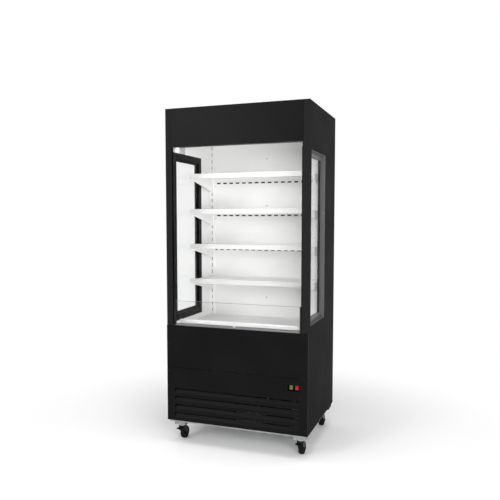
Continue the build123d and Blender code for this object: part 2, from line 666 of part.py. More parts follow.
def window_taper():
    """A wedge that narrows from the edge of the inner trim to the clear glass."""
    outlines = []
    for x, more in ((TRIM_X, BEVEL), (TRIM_X + BEVEL_DEPTH, 0)):
        y0, y1, z0, z1 = WIN_Y0 - more, WIN_Y1 + more, WIN_Z0 - more, WIN_Z1 + more
        corners = [(x, y0, z0), (x, y1, z0), (x, y1, z1), (x, y0, z1)]
        outlines.append(make_face(Polyline(*corners, close=True)))
    return loft(outlines, ruled=True)


def window_frame():
    """Right window frame: a bevelled ring grooved for two panes, an inner trim and an outer rim."""
    ring = ring_block(TRIM_X, FRAME_FACE_X)
    ring += window_block(TRIM_X, LINER_X, TRIM_FRONT, TRIM_REAR, TRIM_LOW, TRIM_HIGH)
    front_y = WIN_Y0 - TRIM_FRONT
    low_z = WIN_Z0 - TRIM_LOW
    high_z = WIN_Z1 + TRIM_HIGH
    ring += block(TRIM_X, POST_X, front_y, front_y + TRIM_T, low_z, high_z)
    outside = [border - FIT for border in SKIN_BORDERS]
    inside = [border - RIM_T for border in outside]
    rim = window_block(FRAME_FACE_X, SKIN_IN + LAND, *outside)
    ring += rim - window_block(FRAME_FACE_X, WIDTH, *inside)
    ring -= window_block(0, WIDTH, 0, 0, 0, 0)
    ring -= window_taper()
    bite = PANE_BITE + FIT
    for pane_x in (INNER_PANE_X, OUTER_PANE_X):
        ring -= window_block(pane_x - PANE_T, pane_x, bite, bite, bite, bite)
    return ring


def window_panes():
    """The two panes of the right window."""
    bite = PANE_BITE
    panes = [window_block(x - PANE_T, x, bite, bite, bite, bite) for x in (INNER_PANE_X, OUTER_PANE_X)]
    return group(panes)


# ---------------------------------------------------------------- roof, back and well
def roof_panel():
    """Insulated roof between the liners, with the top cover over the side walls."""
    roof = block(-LINER_X, LINER_X, HEADER_RETURN, BACK_Y0, ROOF_Z0, COVER_Z0)
    return roof + block(-SKIN_IN, SKIN_IN, SHEET, BODY_DEPTH, COVER_Z0, HEIGHT)


def back_panel():
    """Insulated back between the side skins."""
    return block(-SKIN_IN, SKIN_IN, BACK_Y0, BODY_DEPTH, WELL_FLOOR_Z, COVER_Z0)


def riser_holes():
    """Holes for the two pipes and the bore of the drain through the floor of the well."""
    places = ((RISER_X, SUCTION_Y, PIPE_R + PIPE_GAP), (RISER_X, LIQUID_Y, PIPE_R + PIPE_GAP),
              (DRAIN_X, DRAIN_Y, DRAIN_R - DRAIN_WALL))
    return [rod(x, y, 0, radius, WELL_TOP_Z, "z") for x, y, radius in places]


def well_tub():
    """Insulated floor and front wall of the well below the deck, with its drain spout."""
    floor = block(-LINER_X, LINER_X, SHEET, BACK_Y0, WELL_FLOOR_Z, WELL_Z1)
    tub = floor + block(-LINER_X, LINER_X, SHEET, WELL_WALL, WELL_Z1, WELL_TOP_Z)
    tub += rod(DRAIN_X, DRAIN_Y, DRAIN_END_Z, DRAIN_R, WELL_FLOOR_Z - DRAIN_END_Z, "z")
    return tub - riser_holes()


def ceiling_liner():
    """Ceiling sheet with a front drop that holds the discharge grille."""
    front = GRILLE_Y1
    sheet = block(-INSIDE, INSIDE, front, BACK_Y0, CEILING_Z, CEILING_Z + SHEET)
    drop_x = INSIDE - END_PLATE_T
    sheet += block(-drop_x, drop_x, front, front + SHEET, GRILLE_Z, CEILING_Z)
    back_slot = block(-INSIDE + LEDGE_W, INSIDE - LEDGE_W, DUCT_Y + SHEET, BACK_Y0, 0, HEIGHT)
    return sheet - back_slot


def header_fascia():
    """Header cover: front face, side and bottom returns and the inner wall of the air duct."""
    half_face = HEADER_POST_X - SEAM
    half_in = LINER_X - END_PLATE_T - PANEL_PLAY
    fascia = block(-half_face, half_face, 0, SHEET, HEADER_Z0, HEIGHT)
    fascia += block(-half_in, half_in, 0, HEADER_RETURN, HEADER_Z0, HEADER_Z0 + SHEET)
    for x in (-half_face, half_face - SHEET):
        fascia += block(x, x + SHEET, 0, FASCIA_RETURN, HEADER_Z0, COVER_Z0)
    wall_y = HEADER_RETURN - SHEET
    return fascia + block(-half_in, half_in, wall_y, HEADER_RETURN, HEADER_Z0, ROOF_Z0)


def lamp_housing():
    """Lamp channel behind the header, with the end plates of the air duct."""
    x = INSIDE - END_PLATE_T
    y0 = HEADER_RETURN
    z1 = GRILLE_Z + GRILLE_T
    channel = block(-x, x, y0, y0 + LAMP_D, z1 - LAMP_H, z1)
    channel -= block(-x, x, y0 + LAMP_WALL, y0 + LAMP_D - LAMP_WALL, 0, z1 - LAMP_WALL)
    for side in (-1, 1):
        low_z = WIN_Z1 + TRIM_HIGH
        plate = (side * x, side * INSIDE)
        channel += block(*plate, END_PLATE_Y0, END_PLATE_Y1, low_z, END_PLATE_Z1)
    return channel


def light_bar():
    """Sealed light bar with a frosted underside, in the lamp channel."""
    y0 = HEADER_RETURN + LAMP_WALL + FIT
    y1 = HEADER_RETURN + LAMP_D - LAMP_WALL - FIT
    x = INSIDE - END_PLATE_T - FIT
    z0 = GRILLE_Z + GRILLE_T - LAMP_H
    return block(-x, x, y0, y1, z0, z0 + LAMP_H - LAMP_WALL)


def discharge_grille():
    """Straight cells that the cold air curtain falls through."""
    x = INSIDE - END_PLATE_T
    count = int((2 * x - GRILLE_BAR) // GRILLE_CELL)
    cell = (2 * x - GRILLE_BAR) / count
    bars = block(-x, x, GRILLE_Y0, GRILLE_Y1, GRILLE_Z, GRILLE_Z + GRILLE_T)
    y0, y1 = GRILLE_Y0 + GRILLE_BAR, GRILLE_Y1 - GRILLE_BAR
    cells = []
    for index in range(count):
        x0 = -x + GRILLE_BAR + index * cell
        cells.append(block(x0, x0 + cell - GRILLE_BAR, y0, y1, 0, HEIGHT))
    return bars - cells


# ---------------------------------------------------------------- rear duct, uprights, shelves
def rear_duct_panel():
    """Perforated back of the display space on two side flanges, open below for the cold air."""
    panel = block(-INSIDE, INSIDE, DUCT_Y, DUCT_Y + SHEET, DECK_Z - DUCT_SKIRT, CEILING_Z)
    for side in (-1, 1):
        panel += block(side * (INSIDE - SHEET), side * INSIDE, DUCT_Y, BACK_Y0, WELL_Z1, CEILING_Z)
    cuts = []
    for row, (shelf_top, drop) in enumerate(zip(shelf_heights(), SLOT_ROW_DROP)):
        z = shelf_top - drop
        shift = DUCT_SLOT_SHIFT - (DUCT_SLOT_PITCH / 2 if row == SHIFTED_ROW else 0)
        for index in range(DUCT_SLOTS):
            x = (index - (DUCT_SLOTS - 1) / 2) * DUCT_SLOT_PITCH + shift
            half = DUCT_SLOT_W / 2
            cuts.append(block(x - half, x + half, 0, BACK_Y0, z - DUCT_SLOT_H / 2, z + DUCT_SLOT_H / 2))
    for shelf_top, rise in zip(shelf_heights(), PEG_HOLE_UP):
        cuts.append(rod(PEG_HOLE_X, DUCT_Y - SHEET, shelf_top + rise, PEG_HOLE_R, 3 * SHEET, "y"))
    return panel - cuts


def hook_slot_heights():
    """Centres of the slots in an upright, lined up with the shelf hooks."""
    first = SHELF_TOP_Z - HOOK_DROP
    low = DECK_Z + UPRIGHT_FOOT + HOOK_SLOT_H
    high = UPRIGHT_TOP_Z - HOOK_SLOT_H
    steps_up = int((high - first) // HOOK_SLOT_PITCH)
    steps_down = int((first - low) // HOOK_SLOT_PITCH)
    return [first + step * HOOK_SLOT_PITCH for step in range(-steps_down, steps_up + 1)]


def uprights():
    """Slotted channels in the rear corners."""
    z0 = DECK_Z + UPRIGHT_FOOT
    x1 = UPRIGHT_X0 + UPRIGHT_W
    channel = block(UPRIGHT_X0, x1, UPRIGHT_Y0, DUCT_Y, z0, UPRIGHT_TOP_Z)
    channel -= block(UPRIGHT_X0 + UPRIGHT_T, x1 - UPRIGHT_T, UPRIGHT_Y0 + UPRIGHT_T, DUCT_Y, 0, HEIGHT)
    half_w, half_h = HOOK_SLOT_W / 2, HOOK_SLOT_H / 2
    slots = []
    for z in hook_slot_heights():
        slots.append(block(HOOK_X - half_w, HOOK_X + half_w, 0, DUCT_Y - UPRIGHT_T, z - half_h, z + half_h))
    return both_sides(channel - slots)


def shelf(top):
    """Folded steel shelf with a front and a rear lip."""
    half = SHELF_HALF_W
    sheet = block(-half, half, SHELF_FRONT_Y, SHELF_REAR_Y, top - SHEET, top)
    sheet += block(-half, half, SHELF_FRONT_Y, SHELF_FRONT_Y + SHEET, top - SHELF_LIP, top)
    return sheet + block(-half, half, SHELF_REAR_Y - SHEET, SHELF_REAR_Y, top - SHELF_REAR_LIP, top)


def price_rail(top):
    """Rail along the front of a shelf, with rounded ends and a shallow ticket groove."""
    z1 = top + PRICE_RAIL_STAND
    z0 = z1 - PRICE_RAIL_H
    half = PRICE_RAIL_HALF_W
    rail = block(-half, half, RAIL_FRONT_Y, SHELF_FRONT_Y, z0, z1)
    rail = fillet(rail.edges().filter_by(Axis.Y), PRICE_RAIL_ROUND)
    inset = PRICE_RAIL_ROUND
    return rail - block(-half, half, 0, RAIL_FRONT_Y + TICKET_GROOVE, z0 + inset, z1 - inset)


def shelf_bracket(top):
    """Right bracket: a plate under the shelf that hooks into the upright."""
    z1 = top - SHEET
    y0 = SHELF_FRONT_Y + SHEET
    x0 = HOOK_X - BRACKET_T / 2
    x1 = HOOK_X + BRACKET_T / 2
    y1 = UPRIGHT_Y0
    rear_lip_y = SHELF_REAR_Y - SHEET
    outline = [(y0, z1), (rear_lip_y, z1), (rear_lip_y, top - SHELF_REAR_LIP), (y1, top - SHELF_REAR_LIP),
               (y1, z1 - BRACKET_REAR_H), (y0, z1 - BRACKET_FRONT_H)]
    plate = side_profile(outline, x0, x1)
    for step in (0, 1):
        z = top - HOOK_DROP - step * HOOK_SLOT_PITCH
        hook_z1 = min(z + HOOK_H / 2, top - SHELF_REAR_LIP)
        plate += block(x0, x1, y1 - BRACKET_T, y1 + HOOK_REACH, z - HOOK_H / 2, hook_z1)
    return plate


def shelf_heights():
    return [SHELF_TOP_Z - index * SHELF_PITCH for index in range(SHELVES)]


# ---------------------------------------------------------------- deck and front edge
def deck_pan():
    """Removable floor of the display space, with a hand slot at each end."""
    pan = block(-INSIDE, INSIDE, DECK_FRONT_Y, DUCT_Y - FIT, DECK_UNDER_Z, DECK_Z)
    for x in (-DECK_SLOT_X, DECK_SLOT_X):
        half = DECK_SLOT_L / 2
        pan -= block(x - half, x + half, DECK_SLOT_Y, DECK_SLOT_Y + DECK_SLOT_W, 0, HEIGHT)
    return pan


def front_nosing():
    """Folded rail along the front of the deck: a lipped top, and a ledge for the return grille."""
    x = TRIM_X - FIT
    y1 = NOSING_Y0 + NOSING_W
    lip_z = NOSING_TOP_Z - NOSING_LIP
    rail = block(-x, x, NOSING_Y0, y1, NOSING_TOP_Z - SHEET, NOSING_TOP_Z)
    rail += block(-x, x, NOSING_Y0, NOSING_Y0 + SHEET, lip_z, NOSING_TOP_Z)
    rail += block(-x, x, NOSING_WALL_Y, NOSING_WALL_Y + SHEET, DECK_Z, NOSING_TOP_Z)
    rail += block(-x, x, y1 - SHEET, y1, DECK_Z, NOSING_TOP_Z)
    rail += block(-x, x, NOSING_Y0 - NOSING_LEDGE, NOSING_WALL_Y, RETURN_Z0 - SHEET, RETURN_Z0)
    screw_z = (RETURN_Z0 + RETURN_T + lip_z) / 2
    return rail + rod(0, NOSING_WALL_Y - SHEET, screw_z, NOSING_SCREW_R, SHEET, "y")


def return_grille():
    """Slotted grille that the returning air falls through, from the well's wall to the nosing."""
    y0 = LEDGE_DEPTH + FIT
    grille = block(-INSIDE, INSIDE, y0, RETURN_Y1, RETURN_Z0, RETURN_Z0 + RETURN_T)
    pitch = 2 * INSIDE / RETURN_SLOTS
    slot_y0 = WELL_WALL + RETURN_RIM
    slot_y1 = NOSING_Y0 - NOSING_LEDGE - RETURN_RIM
    slots = []
    for index in range(RETURN_SLOTS):
        x = -INSIDE + (index + 0.5) * pitch
        half = RETURN_SLOT_W / 2
        slots.append(block(x - half, x + half, slot_y0, slot_y1, 0, HEIGHT))
    return grille - slots


def glass_channel():
    """U channel on the front ledge that holds the low front glass."""
    x = END_BRACKET_IN - FIT
    z1 = UPPER_Z1 + CHANNEL_H
    channel = block(-x, x, CHANNEL_Y0, CHANNEL_Y1, UPPER_Z1, z1)
    return channel - block(-x, x, GLASS_Y - FIT, GLASS_Y + GLASS_T + FIT, GLASS_Z0, HEIGHT)


def glass_clip():
    """Small clip behind the glass near the middle, on the glass channel."""
    half = CLIP_W / 2
    z1 = UPPER_Z1 + CLIP_H
    return block(CLIP_X - half, CLIP_X + half, CHANNEL_Y1, CHANNEL_Y1 + CLIP_T, UPPER_Z1, z1)


def front_glass():
    """Low glass screen across the front of the deck."""
    return block(-GLASS_HALF_W, GLASS_HALF_W, GLASS_Y, GLASS_Y + GLASS_T, GLASS_Z0, GLASS_TOP_Z)


def glass_brackets():
    """End brackets of the front glass, grooved for its edges, and the middle clip."""
    x1 = TRIM_X - PANEL_PLAY
    bracket = block(END_BRACKET_IN, x1, END_BRACKET_Y0, END_BRACKET_Y1, UPPER_Z1, GLASS_TOP_Z)
    slot_x = GLASS_HALF_W + FIT
    bracket -= block(0, slot_x, GLASS_Y - FIT, GLASS_Y + GLASS_T + FIT, GLASS_Z0, HEIGHT)
    return group([both_sides(bracket), glass_clip()])


# ---------------------------------------------------------------- front panels
def panel_screw_places():
    """Screw centres of the lower front panel, as (x, z)."""
    top_z = PANEL_Z1 - TOP_SCREW_DROP
    low_z = PANEL_Z0 + LOW_SCREW_RISE
    return [(side * x, z) for side in (-1, 1) for x, z in ((TOP_SCREW_X, top_z), (LOW_SCREW_X, low_z))]


def tray_front(z0, z1):
    """A shallow box of sheet, open to the back."""
    panel = block(-HALF, HALF, -PANEL_PROUD, 0, z0, z1)
    inner = HALF - SHEET
    return panel - block(-inner, inner, -PANEL_PROUD + SHEET, 0, z0 + SHEET, z1 - SHEET)


def upper_front_panel():
    """Plain panel over the well, with the ledge that carries the glass."""
    ledge = block(-INSIDE, INSIDE, -SHEET, LEDGE_DEPTH, UPPER_Z1 - SHEET, UPPER_Z1)
    return tray_front(UPPER_Z0, UPPER_Z1) + ledge


def louvre_blade(top):
    """One pressed louvre: a slanted blade, flush at its foot, with a cheek at each end."""
    face_y = -PANEL_PROUD
    deep_y = face_y + LOUVRE_PRESS
    foot = top - LOUVRE_H
    blade_top = top - LOUVRE_SLOT
    half = LOUVRE_HALF_W
    blade = side_profile([(face_y, foot), (face_y + SHEET, foot), (deep_y + SHEET, blade_top),
                          (deep_y, blade_top)], -half, half)
    cheek = [(face_y, foot), (deep_y + SHEET, blade_top), (face_y + SHEET, top), (face_y, top)]
    for x in (-half, half - SHEET):
        blade += side_profile(cheek, x, x + SHEET)
    return blade


def lower_front_panel():
    """Louvred panel over the machine compartment, with the switch recess and four screw dimples."""
    panel = tray_front(PANEL_Z0, PANEL_Z1)
    seat_y = SHEET - PANEL_PROUD
    for x, z in panel_screw_places():
        panel += rod(x, seat_y, z, SCREW_R + FIT + SHEET, SHEET, "y")
    cuts = [block(POCKET_X - POCKET_W / 2, POCKET_X + POCKET_W / 2, -PANEL_PROUD, 0,
                  POCKET_Z - POCKET_H / 2, POCKET_Z + POCKET_H / 2)]
    for x, z in panel_screw_places():
        cuts.append(rod(x, -PANEL_PROUD, z, SCREW_R + FIT, SHEET, "y"))
        cuts.append(rod(x, seat_y, z, SCREW_SHANK_R + FIT, SHEET, "y"))
    tops = [LOUVRE_TOP_Z - row * LOUVRE_PITCH for row in range(LOUVRE_ROWS)]
    for top in tops:
        cuts.append(block(-LOUVRE_HALF_W, LOUVRE_HALF_W, -PANEL_PROUD, 0, top - LOUVRE_H, top))
    panel -= cuts
    for top in tops:
        panel += louvre_blade(top)
    return panel


def panel_screws():
    """Four screws through the lower panel into the corner angles, flush with the panel."""
    screws = []
    for x, z in panel_screw_places():
        head = rod(x, -PANEL_PROUD, z, SCREW_R, SHEET, "y")
        screws.append(head + rod(x, -PANEL_PROUD, z, SCREW_SHANK_R, SCREW_LEN, "y"))
    return group(screws)


# ---------------------------------------------------------------- switches
def rocker_places():
    return [POCKET_X + offset for offset in ROCKER_X]


def switch_plate():
    """Black recess in the lower panel with the two switch bodies behind it."""
    back = POCKET_Y1
    front = -PANEL_PROUD
    half_w = POCKET_W / 2 - FIT
    half_h = POCKET_H / 2 - FIT
    body = block(POCKET_X - half_w, POCKET_X + half_w, front, back, POCKET_Z - half_h, POCKET_Z + half_h)
    inner_w, inner_h = half_w - POCKET_WALL, half_h - POCKET_WALL
    body -= block(POCKET_X - inner_w, POCKET_X + inner_w, front, back - POCKET_WALL,
                  POCKET_Z - inner_h, POCKET_Z + inner_h)
    flange = block(POCKET_X - half_w - POCKET_FLANGE, POCKET_X + half_w + POCKET_FLANGE,
                   front + SHEET, front + SHEET + POCKET_WALL,
                   POCKET_Z - half_h - POCKET_FLANGE, POCKET_Z + half_h + POCKET_FLANGE)
    body += flange - block(POCKET_X - half_w, POCKET_X + half_w, front, back,
                           POCKET_Z - half_h, POCKET_Z + half_h)
    hole_w = ROCKER_W / 2 + ROCKER_GAP
    hole_h = ROCKER_H / 2 + ROCKER_SWING
    cell_y1 = back + SWITCH_BODY_DEPTH
    for x in rocker_places():
        shell_w, shell_h = hole_w + SWITCH_WALL, hole_h + SWITCH_WALL
        body += block(x - shell_w, x + shell_w, back - POCKET_WALL, cell_y1,
                      POCKET_Z - shell_h, POCKET_Z + shell_h)
        body -= block(x - hole_w, x + hole_w, front, cell_y1 - SWITCH_WALL,
                      POCKET_Z - hole_h, POCKET_Z + hole_h)
        body += rod(x - shell_w, back, POCKET_Z, ROCKER_PIN_R, 2 * shell_w, "x")
    return body


def rocker():
    """A rocker about a pin on x at y = 0, z = 0, leaning with its foot pressed in."""
    half = ROCKER_H / 2
    outline = [(-ROCKER_PROUD, half), (-ROCKER_WAIST, 0), (-ROCKER_PROUD, -half),
               (ROCKER_BACK, -half * ROCKER_TAPER), (ROCKER_BACK, half * ROCKER_TAPER)]
    body = side_profile(outline, -ROCKER_W / 2, ROCKER_W / 2)
    body -= rod(-ROCKER_W, 0, 0, ROCKER_PIN_R + RUNNING_FIT, 2 * ROCKER_W, "x")
    return Rot(-ROCKER_TILT, 0, 0) * body


# ---------------------------------------------------------------- fans and refrigeration
def fan_blades(tip_r, hub_r):
    """Axial fan about y, from y = 0 back to its depth, bored for the motor shaft."""
    hub = rod(0, 0, 0, hub_r, FAN_DEPTH, "y")
    chord = tip_r * FAN_CHORD
    blade = block(0, tip_r, -FAN_BLADE_T / 2, FAN_BLADE_T / 2, -chord / 2, chord / 2)
    blade = Rot(FAN_BLADE_TURN, 0, 0) * blade
    fan = hub
    for index in range(FAN_BLADES):
        fan += Pos(0, FAN_DEPTH / 2, 0) * Rot(0, index * 360 / FAN_BLADES, 0) * blade
    fan &= rod(0, 0, 0, tip_r, FAN_DEPTH, "y")
    return fan - rod(0, -FIT, 0, FAN_SHAFT_R + RUNNING_FIT, FAN_DEPTH + 2 * FIT, "y")


def motor_on_struts(tip_r, strut_y, motor_y, shaft_y0, shaft_y1):
    """Motor about y with its shaft, and flat struts out to the fan's ring."""
    motor = rod(0, motor_y, 0, MOTOR_R, MOTOR_L, "y")
    motor += rod(0, shaft_y0, 0, FAN_SHAFT_R, shaft_y1 - shaft_y0, "y")
    reach = tip_r + TIP_GAP + FAN_RING_T / 2
    for turn in STRUT_TURNS:
        strut = block(0, reach, strut_y, strut_y + STRUT_T, -STRUT_W / 2, STRUT_W / 2)
        motor += Rot(0, turn, 0) * strut
    return motor


def fan_ring(tip_r, y0, depth):
    """Ring round the blade tips."""
    inner = tip_r + TIP_GAP
    return rod(0, y0, 0, inner + FAN_RING_T, depth, "y") - rod(0, y0, 0, inner, depth, "y")


def fan_plate():
    """Plate across the well with the evaporator fan's ring, motor and shaft."""
    y0 = FAN_PLATE_Y
    top_x = LINER_X - LEDGE_W - FIT
    plate = block(-INSIDE, INSIDE, y0, y0 + SHEET, WELL_Z1, DECK_UNDER_Z - LEDGE_T - FIT)
    plate += block(-top_x, top_x, y0, y0 + SHEET, WELL_Z1, DECK_UNDER_Z)
    plate -= Pos(0, 0, EVAP_FAN_Z) * rod(0, y0, 0, EVAP_FAN_R + TIP_GAP, SHEET, "y")
    ring_y0 = y0 - STRUT_T
    plate += Pos(0, 0, EVAP_FAN_Z) * fan_ring(EVAP_FAN_R, ring_y0, FAN_DEPTH + 2 * STRUT_T)
    motor_y = ring_y0 - MOTOR_L + STRUT_T
    shaft_end = ring_y0 + STRUT_T + FIT + FAN_DEPTH
    motor = motor_on_struts(EVAP_FAN_R, ring_y0, motor_y, motor_y, shaft_end)
    return plate + Pos(0, 0, EVAP_FAN_Z) * motor


def evaporator_fan():
    y0 = FAN_PLATE_Y + FIT
    return Pos(0, y0, EVAP_FAN_Z) * fan_blades(EVAP_FAN_R, EVAP_FAN_HUB_R)


def finned_block(x0, x1, y0, y1, z0, z1, cut):
    """A coil block with upright fins cut into its front and back faces."""
    core = block(x0, x1, y0, y1, z0, z1)
    count = int((x1 - x0 - FIN_PITCH) // FIN_PITCH)
    start = (x0 + x1) / 2 - (count - 1) * FIN_PITCH / 2
    grooves = []
    for index in range(count):
        x = start + index * FIN_PITCH
        low, high = z0 + FIN_GAP, z1 - FIN_GAP
        grooves.append(block(x - FIN_GAP / 2, x + FIN_GAP / 2, y0, y0 + cut, low, high))
        grooves.append(block(x - FIN_GAP / 2, x + FIN_GAP / 2, y1 - cut, y1, low, high))
    return core - grooves


def evaporator_coil():
    """Finned evaporator on four feet, with its two pipe stubs on the right."""
    coil = finned_block(-COIL_X, COIL_X, COIL_Y0, COIL_Y1, COIL_Z0, COIL_Z0 + COIL_H, FIN_CUT)
    for x in (-COIL_X, COIL_X - FIN_CUT):
        for y in (COIL_Y0, COIL_Y1 - FIN_CUT):
            coil += block(x, x + FIN_CUT, y, y + FIN_CUT, WELL_Z1, COIL_Z0)
    for y, z in ((SUCTION_Y, RETURN_PIPE_Z), (LIQUID_Y, LIQUID_PIPE_Z)):
        coil += rod(COIL_X, y, z, STUB_R, STUB_L, "x")
    return coil


def condenser_coil():
    """Finned condenser behind the louvres, with its two pipe stubs on the right."""
    coil = finned_block(COND_X0, COND_X1, COND_Y0, COND_Y1, TRAY_TOP_Z, COND_TOP_Z, FIN_CUT / 2)
    y = (COND_Y0 + COND_Y1) / 2
    for z in (DISCHARGE_Z, LIQUID_Z):
        coil += rod(COND_X1, y, z, STUB_R, STUB_L, "x")
    return coil


def condenser_shroud():
    """Shroud behind the condenser with the fan's ring, struts, motor and shaft."""
    y0 = SHROUD_Y0
    here = Pos(COND_FAN_X, 0, COND_FAN_Z)
    plate = block(COND_X0, COND_X1, y0, y0 + SHROUD_T, TRAY_TOP_Z, COND_TOP_Z)
    plate -= here * rod(0, y0, 0, COND_FAN_R + TIP_GAP, SHROUD_T, "y")
    plate += here * fan_ring(COND_FAN_R, y0, RING_DEPTH + STRUT_T)
    strut_y = y0 + RING_DEPTH
    shaft_y = strut_y - FAN_DEPTH - 2 * FIT
    return plate + here * motor_on_struts(COND_FAN_R, strut_y, strut_y, shaft_y, strut_y)


def condenser_fan():
    y0 = SHROUD_Y0 + RING_DEPTH - FAN_DEPTH - FIT
    return Pos(COND_FAN_X, y0, COND_FAN_Z) * fan_blades(COND_FAN_R, COND_FAN_HUB_R)


def compressor():
    """Hermetic compressor on a foot plate and four soft mounts."""
    foot_z = TRAY_TOP_Z + COMP_MOUNT_H
    shell_z = foot_z + COMP_FOOT_T
    shell = rod(0, 0, shell_z, COMP_R, COMP_H, "z")
    shell = fillet(shell.edges().filter_by(GeomType.CIRCLE), COMP_ROUND)
    half_x, half_y = COMP_FOOT_X / 2, COMP_FOOT_Y / 2
    shell += block(-half_x, half_x, -half_y, half_y, foot_z, shell_z)
    shell += rod(0, 0, shell_z, COMP_R - COMP_ROUND, COMP_ROUND, "z")
    for x in (-half_x + COMP_MOUNT_R, half_x - COMP_MOUNT_R):
        for y in (-half_y + COMP_MOUNT_R, half_y - COMP_MOUNT_R):
            shell += rod(x, y, TRAY_TOP_Z, COMP_MOUNT_R, COMP_MOUNT_H, "z")
    middle_z = shell_z + COMP_H / 2
    half_box = COMP_BOX_H / 2
    shell += block(-COMP_R - COMP_BOX_OUT, 0, -half_box, half_box, middle_z - half_box, middle_z + half_box)
    shell += rod(0, -COMP_R - STUB_L, middle_z, STUB_R, COMP_R, "y")
    shell += rod(COMP_R - STUB_L, 0, middle_z, STUB_R, 2 * STUB_L, "x")
    return Pos(COMP_X, COMP_Y, 0) * shell


def pipe(points, radius):
    """A tube along straight runs with rounded corners."""
    path = FilletPolyline(*points, radius=PIPE_BEND)
    start = Plane(origin=points[0], z_dir=Vector(*points[1]) - Vector(*points[0]))
    return sweep(start * Circle(radius), path=path)


def refrigerant_pipes():
    """Discharge, suction and liquid lines between the compressor and the two coils."""
    shell_z = TRAY_TOP_Z + COMP_MOUNT_H + COMP_FOOT_T
    middle_z = shell_z + COMP_H / 2
    coil_y = (COND_Y0 + COND_Y1) / 2
    stub_x = COND_X1 + STUB_L
    turn_y = COND_Y1 + 2 * STUB_L
    stub_y = COMP_Y - COMP_R - STUB_L
    discharge = [(COMP_X, stub_y, middle_z), (COMP_X, turn_y, middle_z), (COMP_X, turn_y, DISCHARGE_Z),
                 (COMP_X, coil_y, DISCHARGE_Z), (stub_x, coil_y, DISCHARGE_Z)]
    suction = [(COMP_X + COMP_R + STUB_L, COMP_Y, middle_z), (RISER_X, SUCTION_Y, middle_z),
               (RISER_X, SUCTION_Y, RETURN_PIPE_Z), (COIL_X + STUB_L, SUCTION_Y, RETURN_PIPE_Z)]
    turn_x = stub_x + 3 * STUB_L
    liquid = [(stub_x, coil_y, LIQUID_Z), (turn_x, coil_y, LIQUID_Z), (turn_x, LIQUID_Y, LIQUID_Z),
              (RISER_X, LIQUID_Y, LIQUID_Z), (RISER_X, LIQUID_Y, LIQUID_PIPE_Z),
              (COIL_X + STUB_L, LIQUID_Y, LIQUID_PIPE_Z)]
    return group([pipe(route, PIPE_R) for route in (discharge, suction, liquid)])


def water_tray():
    """Open tray on the base in which the defrost water evaporates."""
    z0, z1 = TRAY_TOP_Z, TRAY_TOP_Z + WATER_TRAY_H
    wall = WATER_TRAY_WALL
    tray = block(WATER_TRAY_X0, WATER_TRAY_X1, WATER_TRAY_Y0, WATER_TRAY_Y1, z0, z1)
    return tray - block(WATER_TRAY_X0 + wall, WATER_TRAY_X1 - wall, WATER_TRAY_Y0 + wall,
                        WATER_TRAY_Y1 - wall, z0 + wall, HEIGHT)


def control_box():
    """Open-fronted box over the switches, hung from the frame rail."""
    z1 = WELL_FLOOR_Z - FRAME_RAIL_T
    z0 = z1 - BOX_H
    box = block(BOX_X0, BOX_X1, BOX_Y0, BOX_Y1, z0, z1)
    x0, x1 = BOX_X0 + BOX_WALL, BOX_X1 - BOX_WALL
    return box - block(x0, x1, 0, BOX_Y1 - BOX_WALL, z0 + BOX_WALL, z1 - BOX_WALL)


def rear_vent_cover():
    """Slotted cover of the machine compartment, with the hole for the mains gland."""
    cover = block(-SKIN_IN, SKIN_IN, TRAY_REAR_Y, TRAY_REAR_Y + SHEET, PANEL_Z0, WELL_FLOOR_Z)
    cuts = [rod(GLAND_X, 0, GLAND_Z, GLAND_THREAD_R + RUNNING_FIT, BODY_DEPTH, "y")]
    for row in range(VENT_ROWS):
        z = VENT_LOW_Z + row * VENT_PITCH_Z
        for column in range(VENT_COLUMNS):
            x = (column - (VENT_COLUMNS - 1) / 2) * VENT_PITCH_X
            cuts.append(block(x - VENT_W / 2, x + VENT_W / 2, 0, BODY_DEPTH, z, z + VENT_H))
    return cover - cuts


def cord_gland():
    """Mains inlet gland in the rear cover, with an open bore."""
    seat_y = TRAY_REAR_Y + SHEET
    gland = rod(GLAND_X, seat_y, GLAND_Z, GLAND_R, BODY_DEPTH - seat_y, "y")
    gland += rod(GLAND_X, BODY_DEPTH - GLAND_L, GLAND_Z, GLAND_THREAD_R, GLAND_L, "y")
    return gland - rod(GLAND_X, 0, GLAND_Z, GLAND_BORE_R, BODY_DEPTH, "y")


# ---------------------------------------------------------------- export
def export_pairs():
    """Pieces made for the right side and mirrored to the left."""
    apart = {"side_skin": side_skin(), "window_frame": window_frame()}
    for name, part in apart.items():
        export(f"right_{name}", part)
        export(f"left_{name}", mirrored(part))
    joined = {"wall_insulation": wall_insulation(), "side_liners": side_liner(),
              "side_window_glass": window_panes()}
    for name, part in joined.items():
        export(name, both_sides(part))


def export_casters():
    plates = []
    for name, (x, y) in caster_places().items():
        here = Pos(x, y, 0)
        plates.append(here * caster_plate())
        braked = name.startswith("front")
        fork = caster_fork()
        if braked:
            fork += brake_pin()
            export(f"{name}_brake_pedal", here * brake_pedal())
        export(f"{name}_caster_fork", here * fork)
        export(f"{name}_caster_wheel", here * caster_wheel())
    export("caster_plates", group(plates))


def export_shelves():
    rails = []
    brackets = []
    for index, top in enumerate(shelf_heights(), start=1):
        export(f"shelf_{index}", shelf(top))
        rails.append(price_rail(top))
        brackets.append(both_sides(shelf_bracket(top)))
    export("price_rails", group(rails))
    export("shelf_brackets", group(brackets))


def export_rockers():
    for name, x in zip(("light_rocker", "power_rocker"), rocker_places()):
        export(name, Pos(x, POCKET_Y1, POCKET_Z) * rocker())


